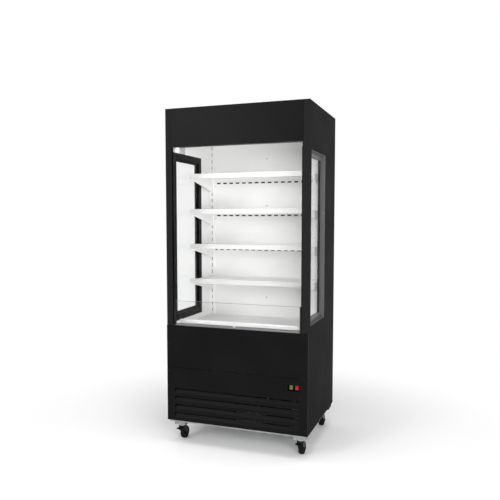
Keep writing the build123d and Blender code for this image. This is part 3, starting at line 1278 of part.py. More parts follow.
def main():
    os.makedirs("parts", exist_ok=True)
    export_pairs()
    export_casters()
    export_shelves()
    export_rockers()
    singles = (base_frame, rear_pads, roof_panel, back_panel, well_tub, ceiling_liner, header_fascia,
               lamp_housing, light_bar, discharge_grille, rear_duct_panel, uprights, deck_pan,
               front_nosing, return_grille, glass_channel, front_glass, glass_brackets,
               upper_front_panel, lower_front_panel, panel_screws, switch_plate, fan_plate,
               evaporator_fan, evaporator_coil, condenser_coil, condenser_shroud, condenser_fan,
               compressor, refrigerant_pipes, water_tray, control_box, rear_vent_cover,
               cord_gland)
    for make in singles:
        export(make.__name__, make())


main()
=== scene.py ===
import json
from math import cos, pi, radians, sin

import bmesh
import bpy
from mathutils import Matrix, Vector


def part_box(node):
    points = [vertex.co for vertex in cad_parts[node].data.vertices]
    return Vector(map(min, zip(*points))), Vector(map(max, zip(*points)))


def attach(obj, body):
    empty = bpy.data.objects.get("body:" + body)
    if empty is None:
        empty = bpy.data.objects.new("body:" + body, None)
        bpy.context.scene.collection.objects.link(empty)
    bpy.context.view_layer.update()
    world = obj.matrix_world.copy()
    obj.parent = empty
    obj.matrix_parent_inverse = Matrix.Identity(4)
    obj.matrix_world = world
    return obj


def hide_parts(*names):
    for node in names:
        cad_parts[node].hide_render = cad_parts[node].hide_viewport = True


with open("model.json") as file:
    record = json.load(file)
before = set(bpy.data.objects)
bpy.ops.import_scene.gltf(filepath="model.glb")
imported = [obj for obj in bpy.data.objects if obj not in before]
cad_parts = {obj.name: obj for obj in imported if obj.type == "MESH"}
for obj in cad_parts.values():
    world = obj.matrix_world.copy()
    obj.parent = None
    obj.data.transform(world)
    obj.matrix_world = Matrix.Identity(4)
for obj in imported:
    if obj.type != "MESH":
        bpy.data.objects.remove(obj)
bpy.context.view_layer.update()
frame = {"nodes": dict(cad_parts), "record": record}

# Looks of the open multideck display fridge. Everything is in metres, in the frame of the CAD model:
# +X to the right seen from the open front, +Y to the back, +Z up, with the floor at z = 0.

# ---------------------------------------------------------------- camera, from the photograph
CAMERA_AT = (1.2262, -3.4608, 1.3643)
CAMERA_DOWN = 4.105          # degrees below the horizon
CAMERA_LEFT = 19.901         # degrees to the left of +Y
CAMERA_LENS = 42.0
CAMERA_SHIFT = 0.024

# ---------------------------------------------------------------- studio
WORLD_LEVEL = 0.60
FLOOR_SIZE = 40.0
FLOOR_FADE = (0.75, 1.9)     # metres from the object, where the floor turns into plain white
FLOOR_SIDES = 96
FLOOR_COLOR = (0.97, 0.97, 0.97, 1)
FLOOR_ROUGH = 0.9
LAMPS = {                    # place, point looked at, two sides in metres, power in watts
    "left lamp": ((-1.9, -4.0, 2.5), (0, 0, 1.2), (1.3, 1.6), 56),
    "fill lamp": ((2.5, -3.5, 1.25), (-0.1, 0.2, 1.2), (2.2, 2.2), 130),
    "top lamp": ((0.2, -0.8, 4.2), (0, 0.1, 1.0), (2.4, 2.4), 55),
}

# ---------------------------------------------------------------- finishes
VALUE_SPREAD = (0.3, 0.7)    # part of a noise factor that a value follows
COLOR_SPREAD = (0.35, 0.65)  # and a colour
PATCH_DETAIL = 4.0
GRAIN_DETAIL = 2.0
GRAIN_DEPTH = 0.0004         # metres
RIPPLE_DETAIL = 3.0          # of the clear glass
RIPPLE_SCALE = 3.0
RIPPLE_STRENGTH = 0.02
RIPPLE_DEPTH = 0.001
GLASS_IOR = 1.15             # low, so that the panes bend and mirror little
GLASS_COLORS = ((0.94, 0.945, 0.94), (0.95, 0.955, 0.95))
GLASS_ROUGH = (0.0, 0.015)
LIGHT_BAR_COLOR = (1.0, 0.99, 0.97, 1)
LIGHT_BAR_LEVEL = 21.0

# ---------------------------------------------------------------- colours told apart by their place
CLIP_REACH = 0.02            # the middle clip of the front glass lies within this of x = 0
PANE_ZONE_X = 0.4045         # the window frame is dark grey round its panes, from here outwards
FRAME_GREY_X = 0.4125        # and lighter grey from here outwards
POST_FACE_Y = 0.3335         # the posts' front faces lie beyond this
BRACKET_BLACK = (0.010, 0.010, 0.010, 1)
PANE_GREY = (0.022, 0.022, 0.022, 1)
FRAME_GREY = (0.110, 0.110, 0.112, 1)
# Lighter base colour on the posts' front faces: painted sheen, in place of the gloss that the front panels
# show.
POST_PAINTED_SHEEN = (0.013, 0.013, 0.0133, 1)

# ---------------------------------------------------------------- fittings
PANE_BITE = 0.007            # glass held inside the window frame
PANE_T = 0.004
PANE_SPACE = 0.006           # between the two panes
RIM_SEEN = 0.001             # spacer bars and seals seen inside the clear glass
SEAL_T = 0.0008
EDGE = 0.0003                # softened edges of small fittings
SHARP = 40                   # degrees between two faces, where an edge counts as sharp
ROUND_SIDES = 20             # sides of small round forms
HEAD_R = 0.0038              # pan head screws
HEAD_T = 0.0022
HEAD_RINGS = ((1, 0), (1, 0.35), (0.92, 0.75))  # shares of a head's radius and height, from its foot up
HEAD_TOP = 0.72              # share of the radius that the top keeps
CROSS_REACH = 0.62           # shares of the head's radius
CROSS_W = 0.26
CROSS_FOOT = 0.7             # share of its width that the recess keeps at its foot
CROSS_DEPTH = 0.0012
PANEL_SCREW_R = 0.0045       # flush screws of the lower panel
PANEL_SCREW_TOP = 0.86
SHANK_R = 0.002
LOW_SCREW_X = 0.421
DUCT_SCREW_X = 0.358         # screws of the rear duct panel
DUCT_SCREW_ROWS = (1.593, 1.376, 1.161)
COVER_SCREW_IN = 0.012       # from the corners of the rear cover
UPRIGHT_W = 0.032            # width of a slotted upright
# The grey strips inside the slotted uprights are painted shade, standing in for the dark inside of the
# channels seen through the slots.
SHADE_W = 0.022              # grey strips inside the slotted uprights
SHADE_Y = (0.0105, 0.0115)   # behind the uprights' front
SHADE_END = 0.003
# The dark strip along the top of the front glass is painted shade, for the dark line that the glass edge
# shows.
EDGE_H = 0.0008              # darker edge along the top of the front glass
EDGE_OUT = 0.0001
ROCKER_PIVOT = (-0.320, 0.4175)  # in Y and Z
ROCKERS = {"light": 0.3395, "power": 0.374}  # middle on X
ROCKER_LEAN = -8.0           # degrees, as the rockers are at rest
ROCKER_HALF = 0.0122         # from the pivot to an end
ROCKER_PROUD = 0.008         # face in front of the pivot, at the ends
ROCKER_WAIST = 0.005         # and in the middle
MARK_W = 0.0012
MARK_H = 0.0052
MARK_T = 0.0002
PEDAL_SLOPE = 0.14           # fall of a pedal's top towards the pin, per metre
PEDAL_HALF_T = 0.0035
RIB_X = 0.0185               # halves of the tread ribs on a pedal
RIB_W = 0.0006
RIB_T = 0.0006
RIB_PLACES = (0.0015, 0.0050, 0.0085)  # from the pedal's tip
GRIP_RIBS = 14
GRIP_R = (0.0126, 0.0136)    # from the middle of the gland
GRIP_W = 0.0007              # half of a rib
GRIP_Y = (-0.0070, -0.0010)  # from the outer end of the gland
SPOKES = 6
SPOKE_W = 0.003
SPOKE_X = (0.0098, 0.0132)   # from the middle of the wheel
SPOKE_REACH = (0.0105, 0.0265)  # from the axle
CASTER_CORNERS = ("front_left", "front_right", "rear_left", "rear_right")


# ---------------------------------------------------------------- shader helpers
def new_material(name):
    """A material with a Principled shader; returns the material, its nodes and its links."""
    material = bpy.data.materials.new(name)
    material.use_nodes = True
    tree = material.node_tree
    return material, tree.nodes, tree.links


def noise(nodes, links, scale, detail, stretch=(1, 1, 1)):
    """Noise in the object's own metres. Returns its factor socket."""
    place = nodes.new("ShaderNodeTexCoord")
    mapping = nodes.new("ShaderNodeMapping")
    mapping.inputs["Scale"].default_value = stretch
    texture = nodes.new("ShaderNodeTexNoise")
    texture.inputs["Scale"].default_value = scale
    texture.inputs["Detail"].default_value = detail
    links.new(place.outputs["Object"], mapping.inputs["Vector"])
    links.new(mapping.outputs["Vector"], texture.inputs["Vector"])
    return texture.outputs["Fac"]


def ramp_value(nodes, links, factor, low, high):
    """A value that follows a noise factor from low to high."""
    spread = nodes.new("ShaderNodeMapRange")
    spread.inputs["From Min"].default_value = VALUE_SPREAD[0]
    spread.inputs["From Max"].default_value = VALUE_SPREAD[1]
    spread.inputs["To Min"].default_value = low
    spread.inputs["To Max"].default_value = high
    links.new(factor, spread.inputs["Value"])
    return spread.outputs["Result"]


def ramp_color(nodes, links, factor, dark, light):
    """A colour that follows a noise factor between two colours."""
    ramp = nodes.new("ShaderNodeValToRGB")
    for element, position, color in zip(ramp.color_ramp.elements, COLOR_SPREAD, (dark, light)):
        element.position = position
        element.color = (*color, 1)
    links.new(factor, ramp.inputs["Fac"])
    return ramp.outputs["Color"]


def add_bump(nodes, links, shader, height, strength, distance):
    """Lets a noise factor raise the surface a little."""
    bump = nodes.new("ShaderNodeBump")
    bump.inputs["Strength"].default_value = strength
    bump.inputs["Distance"].default_value = distance
    links.new(height, bump.inputs["Height"])
    links.new(bump.outputs["Normal"], shader.inputs["Normal"])


def coated(name, dark, light, rough, specular=0.5, metallic=0.0, grain=900.0, bump=0.05, patch=4.0,
           stretch=(1, 1, 1)):
    """A finish with slow patches of colour and roughness, and a fine grain in its surface."""
    material, nodes, links = new_material(name)
    shader = nodes["Principled BSDF"]
    patches = noise(nodes, links, patch, PATCH_DETAIL)
    links.new(ramp_color(nodes, links, patches, dark, light), shader.inputs["Base Color"])
    links.new(ramp_value(nodes, links, patches, *rough), shader.inputs["Roughness"])
    shader.inputs["Specular IOR Level"].default_value = specular
    shader.inputs["Metallic"].default_value = metallic
    fine = noise(nodes, links, grain, GRAIN_DETAIL, stretch)
    add_bump(nodes, links, shader, fine, bump, GRAIN_DEPTH)
    return material


def clear_glass(name):
    """Clear float glass with a faint ripple."""
    material, nodes, links = new_material(name)
    shader = nodes["Principled BSDF"]
    slow = noise(nodes, links, RIPPLE_SCALE, RIPPLE_DETAIL)
    links.new(ramp_color(nodes, links, slow, *GLASS_COLORS), shader.inputs["Base Color"])
    links.new(ramp_value(nodes, links, slow, *GLASS_ROUGH), shader.inputs["Roughness"])
    shader.inputs["Transmission Weight"].default_value = 1.0
    shader.inputs["IOR"].default_value = GLASS_IOR
    add_bump(nodes, links, shader, slow, RIPPLE_STRENGTH, RIPPLE_DEPTH)
    return material


def lit_cover(name):
    """Frosted cover of the light bar, softly lit from inside."""
    material = coated(name, (0.86, 0.86, 0.85), (0.90, 0.90, 0.89), (0.55, 0.65))
    shader = material.node_tree.nodes["Principled BSDF"]
    shader.inputs["Emission Color"].default_value = LIGHT_BAR_COLOR
    shader.inputs["Emission Strength"].default_value = LIGHT_BAR_LEVEL
    return material


def reach_mask(material, reach, axis="X"):
    """1 where the surface lies further than a reach from the middle, along an axis."""
    nodes, links = material.node_tree.nodes, material.node_tree.links
    place = nodes.new("ShaderNodeTexCoord")
    split = nodes.new("ShaderNodeSeparateXYZ")
    size = nodes.new("ShaderNodeMath")
    size.operation = "ABSOLUTE"
    over = nodes.new("ShaderNodeMath")
    over.operation = "GREATER_THAN"
    over.inputs[1].default_value = reach
    links.new(place.outputs["Object"], split.inputs["Vector"])
    links.new(split.outputs[axis], size.inputs[0])
    links.new(size.outputs["Value"], over.inputs[0])
    return over.outputs["Value"]


def blend_color(material, mask, color, shader):
    """Puts another colour over the base colour where the mask is 1."""
    nodes, links = material.node_tree.nodes, material.node_tree.links
    below = shader.inputs["Base Color"].links[0].from_socket
    mix = nodes.new("ShaderNodeMix")
    mix.data_type = "RGBA"
    first, second = [socket for socket in mix.inputs if socket.type == "RGBA"]
    result = [socket for socket in mix.outputs if socket.type == "RGBA"][0]
    second.default_value = color
    links.new(mask, mix.inputs[0])
    links.new(below, first)
    links.new(result, shader.inputs["Base Color"])


def side_coat(name):
    """Powder coat of the side skins, less shiny than the front panels; the posts' fronts get a lighter base
    colour, a painted sheen in place of the gloss that the front panels show.
    """
    material = coated(name, (0.0040, 0.0040, 0.0043), (0.0054, 0.0054, 0.0057), (0.40, 0.48),
                      specular=0.006)
    shader = material.node_tree.nodes["Principled BSDF"]
    # The posts' front faces get a lighter base colour here, as painted sheen.
    blend_color(material, reach_mask(material, POST_FACE_Y, "Y"), POST_PAINTED_SHEEN, shader)
    return material


def bracket_plastic(name):
    """White middle clip and black end brackets of the front glass, told apart by their place."""
    material = coated(name, (0.78, 0.78, 0.77), (0.82, 0.82, 0.81), (0.45, 0.60), specular=0.2,
                      grain=500.0, bump=0.1)
    shader = material.node_tree.nodes["Principled BSDF"]
    blend_color(material, reach_mask(material, CLIP_REACH), BRACKET_BLACK, shader)
    return material


def window_plastic(name):
    """Black gloss frame, dark grey round the panes and lighter grey on the lip of the outer recess."""
    material = coated(name, (0.002, 0.002, 0.002), (0.004, 0.004, 0.004), (0.28, 0.36), specular=0.06)
    shader = material.node_tree.nodes["Principled BSDF"]
    blend_color(material, reach_mask(material, PANE_ZONE_X), PANE_GREY, shader)
    blend_color(material, reach_mask(material, FRAME_GREY_X), FRAME_GREY, shader)
    return material


# ---------------------------------------------------------------- materials
def make_materials():
    """The finish of each slot."""
    return {
        "black_panel": coated("black powder coat", (0.0030, 0.0030, 0.0033), (0.0042, 0.0042, 0.0045),
                              (0.34, 0.42), specular=0.06),
        "white_panel": coated("white powder coat", (0.88, 0.88, 0.875), (0.90, 0.90, 0.895), (0.38, 0.48),
                              specular=0.4),
        "grey_panel": coated("grey powder coat", (0.36, 0.37, 0.37), (0.40, 0.41, 0.41), (0.40, 0.50)),
        "black_trim": coated("black moulded plastic", (0.004, 0.004, 0.004), (0.007, 0.007, 0.007),
                             (0.45, 0.60), specular=0.08, grain=500.0, bump=0.12),
        "black_moulding": coated("black gloss plastic", (0.0015, 0.0015, 0.0015), (0.003, 0.003, 0.003),
                                 (0.28, 0.36), specular=0.05),
        "clear_glass": clear_glass("clear glass"),
        "insulation": coated("cut foam", (0.70, 0.64, 0.44), (0.80, 0.75, 0.56), (0.85, 0.95),
                             grain=300.0, bump=0.6, patch=30.0),
        "galvanised": coated("galvanised sheet", (0.26, 0.265, 0.27), (0.36, 0.365, 0.37), (0.32, 0.48),
                             metallic=1.0, grain=60.0, bump=0.05, patch=35.0),
        "zinc": coated("bright zinc", (0.40, 0.40, 0.40), (0.50, 0.50, 0.49), (0.18, 0.30),
                       metallic=1.0, grain=400.0, bump=0.04, patch=25.0),
        "wheel": coated("wheel rubber", (0.004, 0.004, 0.004), (0.007, 0.007, 0.007), (0.55, 0.72),
                        specular=0.06, grain=700.0, bump=0.25, patch=40.0),
        "screw_metal": coated("blackened screw", (0.006, 0.006, 0.006), (0.010, 0.010, 0.010), (0.30, 0.42),
                              specular=0.12, grain=900.0),
        "black_steel": coated("black zinc plate", (0.006, 0.006, 0.006), (0.010, 0.010, 0.010), (0.30, 0.42),
                              specular=0.15),
        "green_key": coated("green key", (0.070, 0.125, 0.016), (0.085, 0.145, 0.022), (0.40, 0.50),
                            specular=0.12, patch=90.0),
        "red_key": coated("red key", (0.40, 0.007, 0.007), (0.47, 0.010, 0.010), (0.40, 0.50),
                          specular=0.12, patch=90.0),
        "light_cover": lit_cover("frosted cover"),
        "coil_fins": coated("aluminium fins", (0.30, 0.31, 0.32), (0.40, 0.41, 0.42), (0.35, 0.5),
                            metallic=1.0, grain=500.0, bump=0.4, stretch=(1, 1, 0.02)),
        "copper": coated("drawn copper", (0.66, 0.30, 0.18), (0.80, 0.42, 0.28), (0.25, 0.42),
                         metallic=1.0, patch=30.0),
        "compressor_paint": coated("compressor enamel", (0.008, 0.008, 0.009), (0.014, 0.014, 0.015),
                                   (0.22, 0.34), grain=120.0, bump=0.12),
        "fan_plastic": coated("fan plastic", (0.014, 0.014, 0.014), (0.024, 0.024, 0.024), (0.40, 0.55)),
    }


def special_finishes():
    """Finishes of nodes that depart from their slot's."""
    dark_grey = coated("dark grey powder coat", (0.20, 0.20, 0.198), (0.23, 0.23, 0.228), (0.40, 0.50))
    side_black = side_coat("side powder coat")
    return {
        "left_side_skin": side_black,
        "right_side_skin": side_black,
        "glass_brackets": bracket_plastic("bracket plastic"),
        "price_rails": coated("white extruded plastic", (0.55, 0.55, 0.545), (0.59, 0.59, 0.585),
                              (0.30, 0.40), specular=0.4, grain=1200.0, stretch=(0.02, 1, 1)),
        # The condenser's fins are black coated, and kept this dark also as painted shade, so that the louvre
        # slots in front of them read dark.
        "condenser_coil": coated("black coated fins and painted shade", (0.008, 0.008, 0.008), (0.014, 0.014, 0.014),
                                 (0.5, 0.65), specular=0.15, grain=500.0, bump=0.4, stretch=(1, 1, 0.02)),
        "return_grille": dark_grey,
        "glass_channel": dark_grey,
        "left_window_frame": window_plastic("left window plastic"),
        "right_window_frame": window_plastic("right window plastic"),
    }


def dress_nodes(materials):
    """Gives each CAD node its finish."""
    finishes = {part["node"]: materials[part["material_slot"]] for part in frame["record"]["subparts"]}
    finishes.update(special_finishes())
    for node, material in finishes.items():
        for slot in frame["nodes"][node].material_slots:
            slot.material = material


# ---------------------------------------------------------------- mesh helpers
def add_piece(name, form, slot, body):
    """Turns a form into a piece that rides on a body, with the finish of a slot."""
    bmesh.ops.recalc_face_normals(form, faces=form.faces)
    mesh = bpy.data.meshes.new(name)
    form.to_mesh(mesh)
    form.free()
    mesh.materials.append(materials[slot])
    piece = bpy.data.objects.new(name, mesh)
    bpy.context.scene.collection.objects.link(piece)
    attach(piece, body)
    return piece


def add_loop(form, points):
    """A closed ring of new points."""
    return [form.verts.new(point) for point in points]


def bridge(form, one, other):
    """Faces between two rings of as many points."""
    for i in range(len(one)):
        after = (i + 1) % len(one)
        form.faces.new((one[i], one[after], other[after], other[i]))


def bridge_round(form, rings):
    """Faces from each ring to the next, and from the last back to the first."""
    for index, ring in enumerate(rings):
        bridge(form, ring, rings[(index + 1) % len(rings)])


def ring_edges(form, ring):
    """The edges along a ring, made where there are none."""
    pairs = [(ring[i], ring[(i + 1) % len(ring)]) for i in range(len(ring))]
    return [form.edges.get(pair) or form.edges.new(pair) for pair in pairs]


def move_new(form, first, place):
    """Puts the points made since a count of them in their place."""
    form.verts.ensure_lookup_table()
    bmesh.ops.transform(form, matrix=place, verts=form.verts[first:])


def soften(form, reach):
    """Rounds the sharp edges of the whole form a little."""
    sharp = [edge for edge in form.edges
             if edge.is_manifold and edge.calc_face_angle() > radians(SHARP)]
    bmesh.ops.bevel(form, geom=sharp, offset=reach, segments=2, affect="EDGES", profile=0.5)


def add_frame(form, x0, x1, low, high, width):
    """A flat ring in Y and Z, from a rectangle inwards by a width, between two places on X."""
    rings = []
    for x, inset in ((x0, 0), (x0, width), (x1, width), (x1, 0)):
        y0, z0 = low[0] + inset, low[1] + inset
        y1, z1 = high[0] - inset, high[1] - inset
        rings.append(add_loop(form, [(x, y0, z0), (x, y1, z0), (x, y1, z1), (x, y0, z1)]))
    bridge_round(form, rings)


def circle_points(radius, height):
    """Outline of a circle."""
    turns = [2 * pi * i / ROUND_SIDES for i in range(ROUND_SIDES)]
    return [(radius * cos(turn), radius * sin(turn), height) for turn in turns]


def cross_points(reach, half, height):
    """Outline of a plus sign."""
    arm = [(reach, -half), (reach, half), (half, half)]
    points = []
    for c, s in ((1, 0), (0, 1), (-1, 0), (0, -1)):
        points += [(x * c - y * s, x * s + y * c, height) for x, y in arm]
    return points


def add_screw(form, place, radius, top=HEAD_TOP):
    """A screw head with a cross recess. It stands on z = 0 of its place, facing +z."""
    first = len(form.verts)
    rings = [add_loop(form, circle_points(radius * wide, HEAD_T * high))
             for wide, high in (*HEAD_RINGS, (top, 1))]
    for one, other in zip(rings, rings[1:]):
        bridge(form, one, other)
    form.faces.new(rings[0])
    reach, half = radius * CROSS_REACH, radius * CROSS_W / 2
    rim = add_loop(form, cross_points(reach, half, HEAD_T))
    foot = add_loop(form, cross_points(reach * CROSS_FOOT, half * CROSS_FOOT, HEAD_T - CROSS_DEPTH))
    bridge(form, rim, foot)
    form.faces.new(foot)
    edges = ring_edges(form, rings[-1]) + ring_edges(form, rim)
    bmesh.ops.triangle_fill(form, use_beauty=True, use_dissolve=False, edges=edges)
    move_new(form, first, place)


def facing(at, direction):
    """A place whose +z looks along a direction."""
    turn = Vector((0, 0, 1)).rotation_difference(Vector(direction)).to_matrix().to_4x4()
    return Matrix.Translation(at) @ turn


def add_block(form, x, y, z, place=Matrix()):
    """A box from three ranges, put in its place."""
    first = len(form.verts)
    corners = ((x[0], y[0]), (x[1], y[0]), (x[1], y[1]), (x[0], y[1]))
    lower, upper = [add_loop(form, [(*corner, height) for corner in corners]) for height in z]
    bridge(form, lower, upper)
    form.faces.new(lower)
    form.faces.new(upper)
    move_new(form, first, place)


# ---------------------------------------------------------------- windows
def window_fittings():
    """Spacer bars between the panes, and the seals along the edges of the glass."""
    low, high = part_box("side_window_glass")
    rim_low = (low[1] + PANE_BITE, low[2] + PANE_BITE)
    rim_high = (high[1] - PANE_BITE, high[2] - PANE_BITE)
    outer_face = high[0]
    inner_face = outer_face - 2 * PANE_T - PANE_SPACE
    for side, word in ((-1, "left"), (1, "right")):
        form = bmesh.new()
        x1 = outer_face - PANE_T
        add_frame(form, side * (x1 - PANE_SPACE), side * x1, rim_low, rim_high, RIM_SEEN)
        soften(form, EDGE)
        add_piece(f"{word}_window_spacer", form, "black_trim", "cabinet")
        form = bmesh.new()
        add_frame(form, side * outer_face, side * (outer_face + SEAL_T), rim_low, rim_high, RIM_SEEN)
        add_frame(form, side * inner_face, side * (inner_face - SEAL_T), rim_low, rim_high, RIM_SEEN)
        soften(form, EDGE)
        add_piece(f"{word}_window_seals", form, "black_trim", "cabinet")


# ---------------------------------------------------------------- casters
def wheel_spokes():
    """Ribs in the hub recess on both faces of each wheel."""
    for corner in CASTER_CORNERS:
        low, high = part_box(f"{corner}_caster_wheel")
        middle = Matrix.Translation([(a + b) / 2 for a, b in zip(low, high)])
        form = bmesh.new()
        for side in (-1, 1):
            for index in range(SPOKES):
                turn = Matrix.Rotation(2 * pi * index / SPOKES, 4, "X")
                x = sorted(side * reach for reach in SPOKE_X)
                add_block(form, x, (-SPOKE_W / 2, SPOKE_W / 2), SPOKE_REACH, middle @ turn)
        soften(form, EDGE)
        add_piece(f"{corner}_wheel_spokes", form, "wheel", f"{corner}_wheel")


def pedal_ribs():
    """Tread ribs across the top of each brake pedal."""
    for corner in ("front_left", "front_right"):
        low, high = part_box(f"{corner}_brake_pedal")
        x = (low[0] + high[0]) / 2
        tip_y = low[1] + PEDAL_HALF_T
        form = bmesh.new()
        for reach in RIB_PLACES:
            place = Matrix.Translation((x, tip_y + reach, high[2] - reach * PEDAL_SLOPE))
            add_block(form, (-RIB_X, RIB_X), (-RIB_W, RIB_W), (-RIB_T, RIB_T), place)
        soften(form, EDGE / 2)
        add_piece(f"{corner}_pedal_ribs", form, "black_moulding", f"{corner}_pedal")


# ---------------------------------------------------------------- screws, marks and small trim
def panel_screw_heads():
    """Flush cross-recess screws of the lower front panel, with their shanks."""
    low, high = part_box("panel_screws")
    top = (high[0] - PANEL_SCREW_R, high[2] - PANEL_SCREW_R)
    bottom = (LOW_SCREW_X, low[2] + PANEL_SCREW_R)
    face_y = low[1] + HEAD_T
    form = bmesh.new()
    for side in (-1, 1):
        for x, z in (top, bottom):
            place = facing((side * x, face_y, z), (0, -1, 0))
            add_screw(form, place, PANEL_SCREW_R, PANEL_SCREW_TOP)
            first = len(form.verts)
            ends = [add_loop(form, circle_points(SHANK_R, height)) for height in (face_y - high[1], 0)]
            bridge(form, *ends)
            for end in ends:
                form.faces.new(end)
            move_new(form, first, place)
    piece = add_piece("panel_screw_heads", form, "screw_metal", "cabinet")
    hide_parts("panel_screws")


def duct_screws():
    """Screws that hold the rear duct panel."""
    front_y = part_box("rear_duct_panel")[0][1]
    form = bmesh.new()
    for side in (-1, 1):
        for z in DUCT_SCREW_ROWS:
            add_screw(form, facing((side * DUCT_SCREW_X, front_y, z), (0, -1, 0)), HEAD_R)
    add_piece("duct_screws", form, "zinc", "cabinet")


def cover_screws():
    """Screws in the corners of the rear cover."""
    low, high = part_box("rear_vent_cover")
    form = bmesh.new()
    for x in (low[0] + COVER_SCREW_IN, high[0] - COVER_SCREW_IN):
        for z in (low[2] + COVER_SCREW_IN, high[2] - COVER_SCREW_IN):
            add_screw(form, facing((x, high[1], z), (0, 1, 0)), HEAD_R)
    add_piece("cover_screws", form, "zinc", "cabinet")


def upright_painted_shade():
    """Grey strips inside the uprights, seen through their slots: painted shade for the dark inside of the
    channels.
    """
    low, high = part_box("uprights")
    middle = high[0] - UPRIGHT_W / 2
    form = bmesh.new()
    for side in (-1, 1):
        add_block(form, (side * middle - SHADE_W / 2, side * middle + SHADE_W / 2),
                  [low[1] + back for back in SHADE_Y], (low[2] + SHADE_END, high[2] - SHADE_END))
    soften(form, EDGE)
    add_piece("upright_painted_shade", form, "grey_panel", "cabinet")


def add_ring_mark(form, place):
    """A raised ring, standing on z = 0 of its place."""
    first = len(form.verts)
    outer, inner = MARK_H / 2, MARK_H / 2 - MARK_W
    outline = ((outer, 0), (outer, MARK_T), (inner, MARK_T), (inner, 0))
    bridge_round(form, [add_loop(form, circle_points(*point)) for point in outline])
    move_new(form, first, place)


def rocker_marks():
    """On and off marks moulded on the two halves of each rocker."""
    fall = ROCKER_PROUD - ROCKER_WAIST
    for word, x in ROCKERS.items():
        pivot = Matrix.Translation((x, *ROCKER_PIVOT)) @ Matrix.Rotation(radians(ROCKER_LEAN), 4, "X")
        form = bmesh.new()
        for half in (1, -1):
            middle = (0, -(ROCKER_PROUD + ROCKER_WAIST) / 2, half * ROCKER_HALF / 2)
            place = pivot @ facing(middle, (0, -ROCKER_HALF, -half * fall))
            if half > 0:
                add_block(form, (-MARK_W / 2, MARK_W / 2), (-MARK_H / 2, MARK_H / 2), (0, MARK_T), place)
            else:
                add_ring_mark(form, place)
        slot = "green_key" if word == "light" else "red_key"
        add_piece(f"{word}_rocker_marks", form, slot, f"{word}_switch")


def gland_grip():
    """Ribs round the nut of the mains gland."""
    low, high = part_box("cord_gland")
    outer_end = Matrix.Translation(((low[0] + high[0]) / 2, high[1], (low[2] + high[2]) / 2))
    form = bmesh.new()
    for index in range(GRIP_RIBS):
        turn = Matrix.Rotation(2 * pi * index / GRIP_RIBS, 4, "Y")
        add_block(form, (-GRIP_W, GRIP_W), GRIP_Y, GRIP_R, outer_end @ turn)
    soften(form, EDGE)
    add_piece("gland_grip", form, "black_moulding", "cabinet")


def glass_edge():
    """Ground edge along the top of the front glass, coloured darker than its faces as painted shade for the
    dark line that the edge shows.
    """
    low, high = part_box("front_glass")
    form = bmesh.new()
    add_block(form, (low[0], high[0]), (low[1] - EDGE_OUT, high[1] + EDGE_OUT),
              (high[2] - EDGE_H, high[2] + EDGE_OUT))
    soften(form, EDGE)
    piece = add_piece("front_glass_edge", form, "clear_glass", "cabinet")
    piece.data.materials[0] = coated("glass edge painted shade", (0.10, 0.12, 0.115), (0.14, 0.16, 0.155),
                                     (0.3, 0.4), specular=0.3)


def build_pieces():
    window_fittings()
    wheel_spokes()
    pedal_ribs()
    panel_screw_heads()
    duct_screws()
    cover_screws()
    upright_painted_shade()
    rocker_marks()
    gland_grip()
    glass_edge()


# ---------------------------------------------------------------- studio
def make_camera():
    data = bpy.data.cameras.new("camera")
    data.lens = CAMERA_LENS
    data.shift_y = CAMERA_SHIFT
    camera = bpy.data.objects.new("camera", data)
    camera.location = CAMERA_AT
    camera.rotation_euler = (radians(90 - CAMERA_DOWN), 0, radians(CAMERA_LEFT))
    bpy.context.scene.collection.objects.link(camera)
    bpy.context.scene.camera = camera


def seen_directly(nodes, links):
    """1 for camera, glossy and transmission rays, which should meet the plain background."""
    path = nodes.new("ShaderNodeLightPath")
    seen = path.outputs["Is Camera Ray"]
    for kind in ("Is Transmission Ray", "Is Glossy Ray"):
        either = nodes.new("ShaderNodeMath")
        either.operation = "MAXIMUM"
        links.new(seen, either.inputs[0])
        links.new(path.outputs[kind], either.inputs[1])
        seen = either.outputs["Value"]
    return seen


def make_world():
    """Plain white where it is seen, and a softer light on everything else."""
    world = bpy.data.worlds.new("studio")
    world.use_nodes = True
    nodes, links = world.node_tree.nodes, world.node_tree.links
    background = nodes["Background"]
    background.inputs["Color"].default_value = (1, 1, 1, 1)
    level = nodes.new("ShaderNodeMapRange")
    level.inputs["To Min"].default_value = WORLD_LEVEL
    level.inputs["To Max"].default_value = 1.0
    links.new(seen_directly(nodes, links), level.inputs["Value"])
    links.new(level.outputs["Result"], background.inputs["Strength"])
    bpy.context.scene.world = world


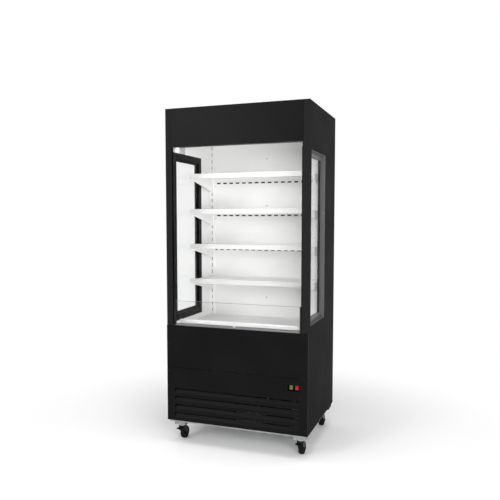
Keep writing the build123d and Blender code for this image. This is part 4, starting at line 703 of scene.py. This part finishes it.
def make_floor():
    """A pale floor that keeps the object's shadow and turns into plain white further out."""
    mesh = bpy.data.meshes.new("floor")
    form = bmesh.new()
    bmesh.ops.create_circle(form, cap_ends=True, segments=FLOOR_SIDES, radius=FLOOR_SIZE)
    form.to_mesh(mesh)
    form.free()
    floor = bpy.data.objects.new("floor", mesh)
    bpy.context.scene.collection.objects.link(floor)
    material, nodes, links = new_material("floor")
    shader = nodes["Principled BSDF"]
    shader.inputs["Base Color"].default_value = FLOOR_COLOR
    shader.inputs["Roughness"].default_value = FLOOR_ROUGH
    shader.inputs["Specular IOR Level"].default_value = 0.0
    white = nodes.new("ShaderNodeEmission")
    mix = nodes.new("ShaderNodeMixShader")
    place = nodes.new("ShaderNodeTexCoord")
    far = nodes.new("ShaderNodeVectorMath")
    far.operation = "LENGTH"
    fade = nodes.new("ShaderNodeMapRange")
    fade.interpolation_type = "SMOOTHSTEP"
    fade.inputs["From Min"].default_value = FLOOR_FADE[0]
    fade.inputs["From Max"].default_value = FLOOR_FADE[1]
    direct = nodes.new("ShaderNodeMath")
    direct.operation = "MULTIPLY"
    links.new(place.outputs["Object"], far.inputs[0])
    links.new(far.outputs["Value"], fade.inputs["Value"])
    links.new(fade.outputs["Result"], direct.inputs[0])
    links.new(seen_directly(nodes, links), direct.inputs[1])
    links.new(direct.outputs["Value"], mix.inputs["Fac"])
    links.new(shader.outputs["BSDF"], mix.inputs[1])
    links.new(white.outputs["Emission"], mix.inputs[2])
    links.new(mix.outputs["Shader"], nodes["Material Output"].inputs["Surface"])
    mesh.materials.append(material)


def lamp(name, at, aim, size, power):
    """A soft lamp with four sides, looking at a point."""
    data = bpy.data.lights.new(name, "AREA")
    data.shape = "RECTANGLE"
    data.size, data.size_y = size
    data.energy = power
    light = bpy.data.objects.new(name, data)
    light.location = at
    light.rotation_euler = (Vector(aim) - Vector(at)).to_track_quat("-Z", "Y").to_euler()
    bpy.context.scene.collection.objects.link(light)


def make_lamps():
    for name, terms in LAMPS.items():
        lamp(name, *terms)


# ---------------------------------------------------------------- put together
materials = make_materials()
dress_nodes(materials)
build_pieces()
make_camera()
make_world()
make_floor()
make_lamps()
bpy.context.scene.view_settings.view_transform = "Standard"
